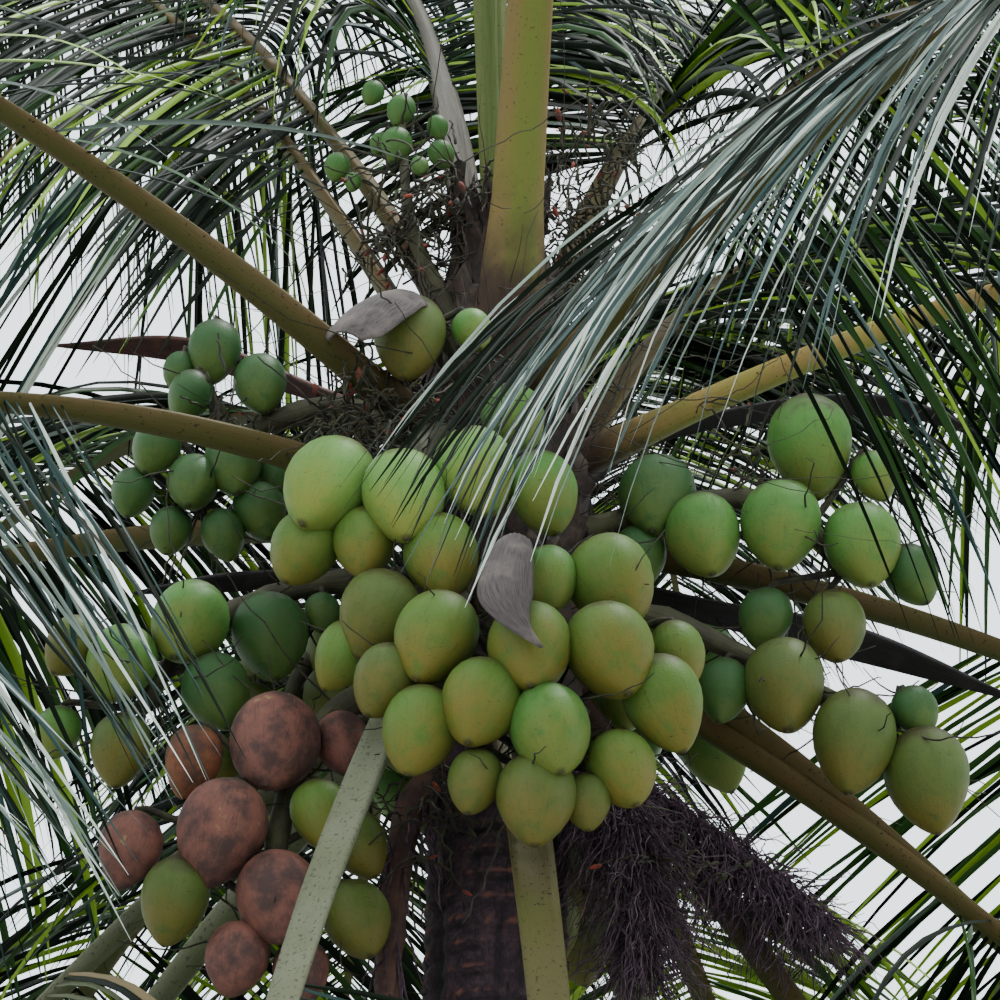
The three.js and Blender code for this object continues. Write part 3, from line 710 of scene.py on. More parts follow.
def petiole_finish(name, back, edge, stripe, speck, spread=0.63):
    """Palm petiole: smooth fibrous rind, greener along its middle, tan at its edges, freckled."""
    material, tree = new_finish("petiole_" + name)
    place, parts = skin_place(tree)
    body = own_place(tree)
    # Grain drawn out along the rib: a streak is about 4 mm across and 120 mm long
    streak = fractal(tree, drawn_out(tree, place, 0.30, 0.035, 1.0), 4.5, 3.0, 0.6)
    patch = fractal(tree, body, 140.0, 3.0, 0.6)
    freckle = fractal(tree, body, 9.0, 2.0, 0.7)
    colour = tint(tree, linear(back), patch, 0.36, 0.62, edge)
    # The middle of the underside lies at 0.71 of the way round
    offset = reckon(tree, "ABSOLUTE", reckon(tree, "SUBTRACT", parts[0], 0.71))
    colour = tint(tree, colour, offset, 0.16, 0.04, stripe)
    colour = tint(tree, colour, streak, 0.42, 0.72, edge, 0.55)
    colour = tint(tree, colour, freckle, spread, spread + 0.08, speck)
    # The clasping base turns dark brown over its first 0.3 m: partly its own brown, partly painted shade of
    # the crown's heart
    base_brown_and_shade = reckon(tree, "MULTIPLY_ADD", patch, 0.5, parts[1])
    colour = blend_colours(tree, spread_share(tree, base_brown_and_shade, 0.30, 0.62), linear(CLASPING_BROWN_AND_SHADE), colour)
    finish_surface(tree, colour, spread_rough(tree, streak, 0.52, 0.72), streak, 1.2, 0.16)
    return material


def husk_finish(name, base, tip, blotch, scuff_and_shade_code):
    """Coconut husk: a waxy green rind that yellows towards its free end, scuffed brown and freckled."""
    material, tree = new_finish("husk_" + name)
    place, parts = skin_place(tree)
    body = own_place(tree)
    patch = fractal(tree, body, 160.0, 3.0, 0.5)
    cloud = fractal(tree, body, 38.0, 4.0, 0.6, 0.4)
    pore = fractal(tree, body, 4.0, 2.0, 0.5)
    speck = fractal(tree, body, 6.0, 3.0, 0.7)
    # Scuffs run across the nut, about 1 mm wide
    scuff = fractal(tree, drawn_out(tree, body, 0.35, 0.35, 2.2), 11.0, 3.0, 0.75, 1.4)
    # Streaks run from the stalk to the free end, about 6 mm apart; one way round is about 0.6 m
    streak = fractal(tree, drawn_out(tree, place, 0.6, 0.030, 1.0), 9.0, 3.0, 0.6)
    # Share of the way from the stalk to the free end, shifted by the patches
    shifted = reckon(tree, "MULTIPLY_ADD", patch, 0.9, parts[1])
    colour = tint(tree, linear(base), shifted, 0.80, 1.35, tip)
    colour = tint(tree, colour, cloud, 0.42, 0.80, blotch)
    colour = tint(tree, colour, streak, 0.50, 0.76, scuff_and_shade_code, 0.30)
    colour = tint(tree, colour, scuff, 0.64, 0.71, scuff_and_shade_code)
    # Specks of 2 mm, half as dark
    colour = tint(tree, colour, speck, 0.58, 0.72, scuff_and_shade_code, 0.45)
    # Painted shade darkens the husk round the stalk end, where the nuts crowd under the calyx; the dry point
    # at the free end is brown
    stalk_end_shade = reckon(tree, "MULTIPLY_ADD", cloud, 0.5, parts[1])
    colour = blend_colours(tree, spread_share(tree, stalk_end_shade, 0.28, 0.58), linear(scuff_and_shade_code), colour)
    end = reckon(tree, "MULTIPLY_ADD", cloud, 0.04, parts[1])
    colour = tint(tree, colour, end, 0.985, 1.016, scuff_and_shade_code)
    finish_surface(tree, colour, spread_rough(tree, cloud, 0.42, 0.62), pore, 0.60, 0.22)
    return material


def dry_husk_finish(name, base, light, dark):
    """Ripe coconut husk: dry brown rind that shows its lengthwise fibres, scratched pale in places."""
    material, tree = new_finish("husk_" + name)
    # Fibres about 2 mm apart run from the stalk to the free end; one way round is about 0.6 m
    drawn = drawn_out(tree, skin_place(tree)[0], 0.6, 0.012, 1.0)
    grain = fractal(tree, drawn, 3.5, 4.0, 0.7)
    scratch = fractal(tree, drawn, 8.0, 2.0, 0.8, 1.0)
    patch = fractal(tree, own_place(tree), 60.0, 4.0, 0.65)
    colour = tint(tree, linear(dark), patch, 0.36, 0.64, base)
    colour = tint(tree, colour, grain, 0.52, 0.70, dark)
    colour = tint(tree, colour, scratch, 0.64, 0.84, light)
    colour = tint(tree, colour, patch, 0.66, 0.74, light)
    finish_surface(tree, colour, 0.74, grain, 1.0)
    return material


def bark_finish():
    """Palm bark: dead corky rind in rings, split lengthways, brown with a purple cast and grey lichen."""
    material, tree = new_finish("ringed_palm_bark")
    body = own_place(tree)
    scar = add_node(tree, "ShaderNodeAttribute", attribute_name="scar").outputs["Fac"]
    patch = fractal(tree, body, 220.0, 4.0, 0.6)
    grain = fractal(tree, body, 22.0, 5.0, 0.7)
    split = fractal(tree, drawn_out(tree, body, 2.6, 2.6, 0.4), 26.0, 4.0, 0.6, 0.6)
    lichen = fractal(tree, body, 70.0, 5.0, 0.75)
    colour = tint(tree, linear("#452c33"), patch, 0.35, 0.65, "#4c3a40")
    colour = blend_colours(tree, spread_share(tree, grain, 0.40, 0.66), linear("#281a23"), colour)
    colour = tint(tree, colour, lichen, 0.60, 0.70, "#544b4b")
    colour = tint(tree, colour, patch, 0.66, 0.74, "#7a432e")
    colour = tint(tree, colour, split, 0.44, 0.34, "#191113")
    # The scar is below 0 on its lip and reaches 1 in its groove
    colour = tint(tree, colour, scar, -0.02, -0.50, "#6f4437")
    colour = tint(tree, colour, scar, 0.0, 1.0, "#150e0f")
    finish_surface(tree, colour, 0.88, reckon(tree, "ADD", grain, split), 4.0)
    return material


def woody_finish(name, back, streak_code, inside):
    """Dry spathe or stalk: thin ribbed wood fibre, weathered along its grain."""
    material, tree = new_finish("dry_" + name)
    streak = fractal(tree, drawn_out(tree, skin_place(tree)[0], 0.25, 0.05, 1.0), 5.0, 4.0, 0.65)
    patch = fractal(tree, own_place(tree), 80.0, 4.0, 0.6)
    colour = tint(tree, linear(back), streak, 0.38, 0.66, streak_code)
    colour = tint(tree, colour, patch, 0.45, 0.68, inside)
    finish_surface(tree, colour, 0.78, streak, 1.5)
    return material


def strand_finish(name, base, light):
    """Loose fibre and flower twigs: matt, each strand a little lighter or darker than the next."""
    material, tree = new_finish(name)
    patch = fractal(tree, own_place(tree), 30.0, 3.0, 0.7)
    finish_surface(tree, tint(tree, linear(base), patch, 0.36, 0.66, light), 0.85)
    return material


# Dark brown of a petiole's clasping base: partly its own colour, partly painted shade
CLASPING_BROWN_AND_SHADE = "#33231a"


LEAVES = {
    # Silver: the leaflets' own grey-green made lighter to stand for sunlit leaflets, partly painted light
    "silver_and_sunlit": leaf_finish("silver_and_sunlit", "#66756a", 0.34),
    # Near-white leaflets dealt among the others: painted sun glints
    "painted_glint": leaf_finish("painted_glint", "#c4ccbf", 0.28),
    "green": leaf_finish("green", "#28481a", 0.42, 0.16),
    # Deep: near-black leaflets dealt among the others, painted shade in the depth of the fronds
    "deep": leaf_finish("deep", "#0d180a", 0.50, 0.08),
    "blue": leaf_finish("blue", "#263e3a", 0.38, 0.20),
    # Yellow-green leaflets: partly their own colour, partly painted light where the sun shines through them
    "bright": leaf_finish("bright", "#7ea022", 0.42),
    # Glowing yellow-green leaflets: painted light of the sun shining through them
    "glow": leaf_finish("glow", "#9ab83a", 0.46),
    "olive": leaf_finish("olive", "#434b22", 0.45),
    "dry": leaf_finish("dry", "#84724f", 0.60),
}
PETIOLES = {
    "green": petiole_finish("green", "#6a622c", "#6e5c34", "#5c6526", "#463c22"),
    # Light: a lighter copy of the green rind, painted light on a petiole that hangs in shade
    "light": petiole_finish("light", "#8a8240", "#8c7444", "#7c8038", "#4a3c24"),
    "olive": petiole_finish("olive", "#4a4422", "#544427", "#464a24", "#231c12"),
    "shade": petiole_finish("shade", "#2c2a16", "#362e1c", "#2a3017", "#191610"),
    "tan": petiole_finish("tan", "#504726", "#5a4a2c", "#4e4d27", "#2a2015"),
    "moss": petiole_finish("moss", "#55542c", "#5a5434", "#52572a", "#33301c", 0.60),
    "grey": petiole_finish("grey", "#6a6c54", "#747660", "#5f6746", "#4c4e40", 0.58),
}
HUSKS = {
    "light": husk_finish("light", "#648c44", "#7c8438", "#5c843a", "#4c4a24"),
    "lime": husk_finish("lime", "#54712d", "#716829", "#4e6a28", "#423c1e"),
    "green": husk_finish("green", "#4e7a36", "#697230", "#467030", "#3a401e"),
    "deep": husk_finish("deep", "#2f5228", "#4c5f28", "#2c5026", "#28301a"),
    "olive": husk_finish("olive", "#4f5f29", "#665e28", "#4a5a26", "#38321c"),
    "ripe": dry_husk_finish("ripe", "#7a4a3d", "#8f7a4c", "#422a25"),
    "orange": dry_husk_finish("orange", "#824a2a", "#8d7038", "#4a2c1e"),
    "young": husk_finish("young", "#3a642b", "#4d682f", "#3f652d", "#26391c"),
}
HUSK_ORDER = list(HUSKS)
CALYX = strand_finish("dry_calyx", "#2e2a1b", "#4c4828")
STALK = woody_finish("flower_stalk", "#3d3b24", "#2a241a", "#474728")
TWIG = strand_finish("flower_twig", "#1d1813", "#3b3821")
FIBRE = strand_finish("matted_fibre", "#34242e", "#614a55")
SHEATH = strand_finish("leaf_sheath_fibre", "#1e1612", "#3a2a1e")
BLOSSOM = strand_finish("flower_remains", "#4e2018", "#823622")
BRACT_RED = woody_finish("spathe_red", "#553430", "#382222", "#664238")
BRACT_GREY = woody_finish("spathe_grey", "#5a504e", "#383130", "#6c605a")
BRACT_DARK = woody_finish("spathe_dark", "#262022", "#181416", "#332a2b")
OLD_STALK = woody_finish("old_stalk", "#4a302a", "#32211f", "#5f4034")
BARK = bark_finish()
SPEAR_LEAF = petiole_finish("spear", "#56602f", "#646a3a", "#4c5a2a", "#3c4022")


# Trunk
def scar_relief(turn, height):
    """Depth of the bark's relief and how deep in a leaf scar a point lies, below 0 on the scar's lip."""
    wave = 0.16 * math.sin(turn + height * 1.9) + 0.10 * math.sin(3 * turn + height * 4.3)
    drift = 0.35 * noise.noise(Vector((math.cos(turn) * 0.8, math.sin(turn) * 0.8, height * 2.2)))
    phase = height / SCAR_SPACING + wave + drift
    part = phase - math.floor(phase)
    near = min(part, 1 - part)
    groove = math.exp(-((near / 0.09) ** 2))
    lip = math.exp(-(((part - 0.20) / 0.16) ** 2))
    place = Vector((math.cos(turn) * 5.5, math.sin(turn) * 5.5, height * 2.5))
    split = max(0.0, noise.noise(place) - 0.12)
    rough = noise.fractal(Vector((math.cos(turn) * 9, math.sin(turn) * 9, height * 40)), 0.7, 2.0, 3)
    depth = -SCAR_DEPTH * groove + 0.0060 * lip - 0.016 * split + 0.0040 * rough
    return depth, max(-1.0, min(1.0, 0.75 * groove + 1.4 * split - 0.6 * lip * max(0.0, 0.5 + rough)))


def build_trunk():
    """Drawn up ring by ring from its foot, smoothed, then given the bark's relief."""
    foot = axis_at(0.0)
    bpy.ops.mesh.primitive_circle_add(
        vertices=TRUNK_SIDES, radius=TRUNK_RADII[0], fill_type="NGON", location=foot
    )
    trunk = bpy.context.active_object
    trunk.name = "trunk_bark"
    bpy.ops.object.mode_set(mode="EDIT")
    bpy.ops.mesh.select_mode(type="EDGE")
    bpy.ops.mesh.select_all(action="SELECT")
    bpy.ops.transform.edge_crease(value=1.0)
    bpy.ops.mesh.select_mode(type="FACE")
    bpy.ops.mesh.select_all(action="SELECT")
    heights = np.arange(0.0, TRUNK_HEIGHTS[-1] + 0.001, SCAR_SPACING)
    radii = np.interp(heights, TRUNK_HEIGHTS, TRUNK_RADII)
    places = axis_at(heights)
    for k in range(1, len(heights)):
        move = places[k] - places[k - 1]
        grow = radii[k] / radii[k - 1]
        bpy.ops.mesh.extrude_region_move(TRANSFORM_OT_translate={"value": tuple(move)})
        bpy.ops.transform.resize(value=(grow, grow, 1.0), center_override=tuple(places[k]))
    bpy.ops.mesh.select_all(action="SELECT")
    bpy.ops.mesh.normals_make_consistent(inside=False)
    bpy.ops.object.mode_set(mode="OBJECT")
    bpy.ops.object.transform_apply(location=True, rotation=True, scale=True)
    rounder = trunk.modifiers.new("rounder", "SUBSURF")
    rounder.levels = 2
    rounder.render_levels = 2
    bpy.ops.object.modifier_apply(modifier="rounder")
    points = places_of(trunk.data)
    scars = np.zeros(len(points))
    for k, point in enumerate(points):
        centre = axis_at(point[2])
        aside = point[:2] - centre[:2]
        reach = math.hypot(*aside)
        if reach < 0.02:
            continue
        turn = math.atan2(aside[1], aside[0])
        depth, scar = scar_relief(turn, point[2])
        flare = max(0.0, 1 - point[2] / FLARE_HEIGHT)
        toe = FLARE_WANDER * flare * noise.noise(Vector((math.cos(turn) * 3, math.sin(turn) * 3, 7.0)))
        share = min(1.0, reach / 0.05)
        rim = min(1.0, 0.2 + point[2] / 0.05)
        grown = (reach + (depth * rim + toe) * share) / reach
        points[k, :2] = centre[:2] + aside * grown
        scars[k] = scar
    points[:, 2] = np.where(points[:, 2] < 0.004, 0.0, points[:, 2])
    trunk.data.vertices.foreach_set("co", points.ravel())
    mark = trunk.data.attributes.new("scar", "FLOAT", "POINT")
    mark.data.foreach_set("value", scars.astype(np.float32))
    trunk.data.materials.append(BARK)
    bpy.ops.object.shade_smooth()
    trunk.select_set(False)
    return stand_for(trunk, "trunk", "trunk")


# Fronds
class Arc:
    """A frond's line: its places, its run and what lies above it."""

    def __init__(self, azimuth, height, lift, bend, length):
        turn = math.radians(azimuth)
        out = np.array([math.cos(turn), math.sin(turn), 0.0])
        self.side = np.array([-math.sin(turn), math.cos(turn), 0.0])
        self.length = length
        share = np.arange(ARC_STEPS + 1) / ARC_STEPS
        pitch = np.radians(lift - bend * share**BEND_POWER)
        self.alongs = out * np.cos(pitch)[:, None] + UP * np.sin(pitch)[:, None]
        steps = (self.alongs[:-1] + self.alongs[1:]) * (length / ARC_STEPS / 2)
        start = in_crown([0, 0, height]) + out * SHANK_RADIUS
        self.places = start + np.concatenate([np.zeros((1, 3)), np.cumsum(steps, 0)])
        self.runs = share * length

    def at(self, run):
        """Place, direction and what lies above, at each run; behind the start it goes straight on."""
        run = np.asarray(run, float)
        place = np.stack([np.interp(run, self.runs, self.places[:, i]) for i in range(3)], -1)
        along = unit(np.stack([np.interp(run, self.runs, self.alongs[:, i]) for i in range(3)], -1))
        place = place + along * np.minimum(run, 0)[:, None]
        return place, along, np.cross(along, self.side)


PETIOLE_SECTION = np.array([
    (1.0, 0.55), (0.62, 0.40), (0.25, 0.28), (-0.25, 0.28), (-0.62, 0.40), (-1.0, 0.55), (-1.03, 0.30),
    (-0.90, -0.12), (-0.62, -0.60), (-0.24, -0.95), (0.24, -0.95), (0.62, -0.60), (0.90, -0.12), (1.03, 0.30),
])
RACHIS_SECTION = np.array([
    (0.95, 0.10), (0.60, 0.50), (0.22, 0.86), (-0.22, 0.86), (-0.60, 0.50), (-0.95, 0.10), (-1.0, -0.10),
    (-0.88, -0.40), (-0.62, -0.72), (-0.24, -0.95), (0.24, -0.95), (0.62, -0.72), (0.88, -0.40), (1.0, -0.10),
])


def rib_half(run, length, petiole, girth):
    """Half the rib's width: broad where it clasps the trunk, then thinning to the tip."""
    runs = [-0.12, 0.06, NECK_RUN, petiole, length]
    halves = [SHANK_HALF * 1.15, SHANK_HALF * 0.72, NECK_HALF, PETIOLE_HALF, TIP_HALF]
    return np.interp(run, runs, halves) * np.interp(run, [petiole, length], [girth, 1.0])


def build_rib(name, arc, petiole, girth, skin, nodes):
    level = max(math.hypot(arc.alongs[0, 0], arc.alongs[0, 1]), 0.3)
    run = np.concatenate([[-0.115 / level], np.linspace(0, arc.length, RIB_ROWS)])
    place, along, over = arc.at(run)
    half = rib_half(run, arc.length, petiole, girth)
    depth = np.maximum(half * 0.62, TIP_HALF)
    ridge = np.clip((run - petiole + 0.25) / 0.6, 0, 1)[:, None, None]
    section = PETIOLE_SECTION * (1 - ridge) + RACHIS_SECTION * ridge
    points = place[:, None] + section[..., :1] * half[:, None, None] * arc.side
    points = points + section[..., 1:] * depth[:, None, None] * over[:, None]
    growth = Growth()
    growth.grid(points[None], True, along=run[None], caps=True)
    rib = growth.piece("rib_" + name, [PETIOLES[skin]])
    return stand_for(rib, "frond", *nodes)


def leaf_paths(arc, share, sign, tilt, rule, luck):
    """Leaflets' lines by the rule of the solids, each a little off it."""
    count = len(share)
    runs = rule["petiole"] + (arc.length - rule["petiole"]) * share
    place, along, over = arc.at(runs)
    opening = np.minimum(rule["sweep"] - LEAF_CLOSING * share**0.9, rule["most"])
    angle = np.radians(opening + luck.normal(0, 3.0, count))[:, None]
    lean = np.radians(tilt + luck.normal(0, 6.0, count))[:, None]
    outward = arc.side * sign[:, None] * np.cos(lean) + over * np.sin(lean)
    start = along * np.cos(angle) + outward * np.sin(angle)
    # A leaflet is longest a quarter of the way out
    early = LEAF_LENGTH * (0.72 + 0.28 * np.sin(np.minimum(share / 0.25, 1) * np.pi / 2))
    late = LEAF_LENGTH * (1 - 0.75 * (np.maximum(share - 0.25, 0) / 0.75) ** 1.8)
    size = np.where(share > 0.25, late, early) * luck.uniform(0.86, 1.03, count)
    sag = rule["sag"] * luck.uniform(0.8, 1.2, count)
    v = (np.arange(LEAF_ROWS - 1) + 1) / (LEAF_ROWS - 1)
    drop = (sag[:, None] * v)[..., None]
    steps = unit(start[:, None] * (1 - drop) - UP * drop) * (size / (LEAF_ROWS - 1))[:, None, None]
    half = rib_half(runs, arc.length, rule["petiole"], 1.0)[:, None]
    root = place + arc.side * sign[:, None] * half * 0.6 + over * half * 0.2
    return root[:, None] + np.concatenate([np.zeros((count, 1, 3)), np.cumsum(steps, 1)], 1), along


def clear_of_nuts(paths):
    """Leaflets that pass through no nut and stay out of the trunk."""
    body = paths[:, 2:].reshape(-1, 3)
    clear = np.ones(len(body), bool)
    batch = 4000
    for k in range(0, len(body), batch):
        gaps = np.linalg.norm(body[k : k + batch, None] - NUT_BALLS, axis=-1) - BALL_HALVES * 1.15
        clear[k : k + batch] = gaps.min(1) > 0
    aside = body[:, :2] - axis_at(body[:, 2])[:, :2]
    clear &= (np.hypot(aside[:, 0], aside[:, 1]) > TRUNK_ROOM) | (body[:, 2] > TRUNK_HEIGHTS[-1])
    return clear.reshape(len(paths), -1).all(1)


def blade_grid(paths, along, sign, halves, luck):
    """Narrow blades folded along their midribs, twisting a little towards their tips."""
    count, rows = paths.shape[:2]
    run = run_along(paths)
    spread = unit(along[:, None] - run * dot(along[:, None], run))
    over = np.cross(spread, run) * sign[:, None, None]
    v = np.linspace(0, 1, rows)
    twist = luck.normal(0, 16, count)[:, None] + luck.normal(0, 30, count)[:, None] * v
    twist = np.radians(twist)[..., None]
    across = spread * np.cos(twist) + over * np.sin(twist)
    above = over * np.cos(twist) - spread * np.sin(twist)
    shape = np.interp(v, [0, 0.06, 0.25, 0.55, 0.85, 1.0], [0.45, 0.75, 1.0, 0.9, 0.5, 0.05])
    half = (halves[:, None] * shape)[..., None]
    fold = np.radians(FOLD * (1 - 0.6 * v))[None, :, None]
    left = paths - across * half * np.cos(fold) * sign[:, None, None] - above * half * np.sin(fold)
    right = paths + across * half * np.cos(fold) * sign[:, None, None] - above * half * np.sin(fold)
    return np.stack([left, paths, right], 2)


def build_leaflets(name, arc, tilt, mix, rule, seed, nodes):
    luck = np.random.default_rng(seed)
    wide = FAR_LEAF_HALF if name.startswith("back") else NEAR_LEAF_HALF
    share = np.repeat((np.arange(LEAF_PAIRS) + 0.5) / LEAF_PAIRS, 2)
    share = np.clip(share + luck.normal(0, 0.002, len(share)), 0.002, 0.998)
    sign = np.tile([-1.0, 1.0], LEAF_PAIRS)
    paths, along = leaf_paths(arc, share, sign, tilt, rule, luck)
    chance = np.where(share < INNER_SHARE, np.where(sign < 0, *rule["left"]), FROND_RULE["left"][0])
    kept = clear_of_nuts(paths) & (luck.random(len(share)) < chance)
    paths, along, sign, share = paths[kept], along[kept], sign[kept], share[kept]
    halves = np.interp(share, [INNER_SHARE - 0.1, INNER_SHARE + 0.1], [rule.get("half", wide), wide])
    halves = halves * (1.05 - 0.40 * share) * luck.uniform(0.80, 1.20, len(share))
    colours = list(LEAVES)
    sides = [[LEAF_MIXES[m].get(colour, 0.0) for colour in colours] for m in (mix, rule.get("second", mix))]
    slots, second = (luck.choice(len(colours), len(share), p=side) for side in sides)
    slots = np.where(sign > 0, second, slots)
    used = sorted(set(slots.tolist()))
    slots = np.searchsorted(used, slots)
    growth = Growth()
    growth.grid(blade_grid(paths, along, sign, halves, luck), False, slots)
    leaves = growth.piece("leaflets_" + name, [LEAVES[colours[k]] for k in used])
    return stand_for(leaves, "frond", *nodes)


# Nuts
def nut_shape(rows=17, cols=24):
    """One nut about its own axis, stalk end first: ovoid, with three soft ridges and a blunt point."""
    t = np.sin(np.linspace(-np.pi / 2, np.pi / 2, rows))
    body = np.where(t > 0, (1 - np.abs(t) ** 1.65) ** 0.72, (1 - np.abs(t) ** 2.4) ** 0.5)
    body = np.maximum(body, 0.012)
    height = np.where(t > 0, t * 1.38 - 0.10, t * 1.06 - 0.10)
    turn = turns_of(cols)
    ridge = 1 + 0.045 * np.cos(3 * turn)[None] * (0.25 + 0.75 * np.clip(t + 0.3, 0, 1))[:, None]
    around = body[:, None] * ridge
    return np.stack([around * np.cos(turn), around * np.sin(turn), height[:, None] + 0 * around], -1)


def calyx_shape(rows=5, cols=18):
    """The cap of scales that holds a nut, lying on its stalk end, with a scalloped rim."""
    turn = turns_of(cols)
    rim = 0.56 + 0.07 * np.abs(np.cos(1.5 * turn))
    out = np.linspace(0.10, 1.0, rows)[:, None] * rim
    lift = np.array([0.030, 0.034, 0.032, 0.026, -0.012])[:, None]
    height = -1.16 * (1 - np.minimum(out, 0.999) ** 2) ** 0.46 - lift
    reach = out * (1 + lift * 0.5)
    return np.stack([reach * np.cos(turn), reach * np.sin(turn), height], -1)


def scar_shape():
    """The dry point at a nut's free end."""
    turn = turns_of(6)
    out = np.array([0.075, 0.055, 0.010])[:, None] + 0 * turn
    height = np.array([1.225, 1.265, 1.29])[:, None] + 0 * turn
    return np.stack([out * np.cos(turn), out * np.sin(turn), height], -1)


NUT = nut_shape()
NUT_SHARES = (NUT[:, 0, 2] - NUT[0, 0, 2]) / (NUT[-1, 0, 2] - NUT[0, 0, 2])
CAP = calyx_shape()
SCAR = scar_shape()


def nearest_on(path, point):
    """The point of a line of straight runs that is nearest to a point."""
    start, step = path[:-1], np.diff(path, axis=0)
    share = np.clip(dot(point - start, step) / np.maximum(dot(step, step), 1e-12), 0, 1)
    spots = start + step * share
    return spots[np.argmin(np.linalg.norm(spots - point, axis=1))]


def turned(shape, axis, roll):
    """A shape about +Z laid along an axis and turned about it."""
    aside = np.array([1.0, 0.0, 0.0]) if abs(axis[0]) < 0.8 else np.array([0.0, 1.0, 0.0])
    x = unit(np.cross(aside, axis))
    y = np.cross(axis, x)
    x, y = x * math.cos(roll) + y * math.sin(roll), y * math.cos(roll) - x * math.sin(roll)
    return shape[..., :1] * x + shape[..., 1:2] * y + shape[..., 2:] * axis


def node_has_nut(node, centre, half):
    """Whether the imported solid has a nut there; the far bunches left out the ones that had no room."""
    places = places_of(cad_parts[node].data)
    near = np.linalg.norm(places - centre, axis=1) < half * 1.35
    return near.sum() > 30


def far_bunch(name, azimuth, height, half, husk):
    turn = math.radians(azimuth)

    def spot(reach, level, radius):
        return math.cos(turn) * reach, math.sin(turn) * reach, level, radius

    stalk = [
        spot(0.110, height, 0.030),
        spot(0.280, height + 0.020, 0.028),
        spot(FAR_REACH, height - 0.060, 0.024),
        spot(FAR_REACH + 0.070, height - 0.230, 0.016),
    ]
    nuts = []
    for i in range(FAR_NUTS):
        share = (i + 0.5) / FAR_NUTS
        swing = math.radians(i * GOLDEN_ANGLE)
        x, y, z, _ = spot(FAR_REACH + 0.060, height - 0.040 - 0.300 * share, 0)
        x += math.cos(swing) * (0.110 + 0.050 * share)
        y += math.sin(swing) * (0.110 + 0.050 * share)
        size = half * (0.85 + 0.15 * math.cos(i * 2.4))
        if node_has_nut("bunch_" + name, in_crown([x, y, z]), size):
            nuts.append((x, y, z, size, husk))
    return {"stalk": stalk, "nuts": nuts}


for far_name, far_row in FAR_BUNCHES.items():
    BUNCHES[far_name] = far_bunch(far_name, *far_row)

ALL_NUTS = [nut for bunch in BUNCHES.values() for nut in bunch["nuts"]]
# Leaflets keep clear of two balls in each nut, about its centre and nearer its free end
NUT_CENTRES = in_crown([nut[:3] for nut in ALL_NUTS])
NUT_HALVES = np.array([nut[3] for nut in ALL_NUTS])
NUT_BALLS = np.concatenate([NUT_CENTRES, NUT_CENTRES - UP * NUT_HALVES[:, None] * 0.3])
BALL_HALVES = np.tile(NUT_HALVES, 2)


def bowed(start, end, drop, rows, luck, wander=0.0):
    """A line from start to end that hangs by drop in its middle and wanders a little."""
    v = np.linspace(0, 1, rows)[:, None]
    line = start * (1 - v) + end * v - UP * drop * 4 * v * (1 - v)
    if wander:
        shake = np.cumsum(luck.normal(0, wander, (rows, 3)), 0)
        line = line + shake * v - shake[-1] * v**2 * 0.3
    return line


def build_bunch(name, bunch, seed):
    luck = np.random.default_rng(seed)
    stalk = in_crown(bunch["stalk"])
    line = thick_path(bunch["stalk"], STALK_ROWS)
    fruit, twigs = Growth(), Growth()
    add_knotty(twigs, line, 0.10, 10, luck)
    small = 0.45 if name == "young" else 1.0
    for x, y, z, half, husk in bunch["nuts"]:
        centre = in_crown([x, y, z])
        spot = nearest_on(stalk, centre)
        axis = unit(unit(centre - spot) - UP * NUT_DROOP + luck.normal(0, NUT_SWING, 3))
        roll = luck.uniform(0, 2 * math.pi)
        stretch = np.array([1.0, 1.0, luck.uniform(1.02, 1.14)])
        body = centre + turned(NUT * stretch, axis, roll) * half
        fruit.grid(body[None], True, HUSK_ORDER.index(husk), along=NUT_SHARES[None], caps=True)
        for shape in (CAP, SCAR):
            end = centre + turned(shape * stretch, axis, roll) * half
            fruit.grid(end[None], True, len(HUSK_ORDER), caps=True)
        stem = centre - axis * half * NUT_STEM
        way = [spot, (spot + stem) / 2 + UP * 0.01, stem - axis * 0.02, stem + axis * 0.02]
        add_strand(twigs, smooth_path(way, 9), 0.009 * small, 0.007 * small, 6, 1)
        for _ in range(2):
            toward = unit(luck.normal(0, 0.75, 3) + [0, 0.6, 0] - axis * 0.3)
            size = luck.uniform(0.08, 0.24) * small
            tail = bowed(stem, stem + toward * size, 0.02, 9, luck, 0.005)
            add_strand(twigs, tail, 0.0026, 0.0012, 4, 1)
    for start in line[luck.integers(6, STALK_ROWS, LOOSE_TWIGS), :3]:
        toward = unit(luck.normal(0, 1, 3) * [1, 1, 0.6] + [0, 0.3, -0.2])
        size = luck.uniform(0.18, 0.42) * small
        tail = bowed(start, start + toward * size, 0.03, 12, luck, 0.009)
        add_strand(twigs, tail, 0.0034, 0.0013, 4, 1)
    stand_for(fruit.piece("nuts_" + name, [*HUSKS.values(), CALYX]), "nut", "bunch_" + name)
    stand_for(twigs.piece("stalk_" + name, [STALK, TWIG]), "nut", "bunch_" + name)


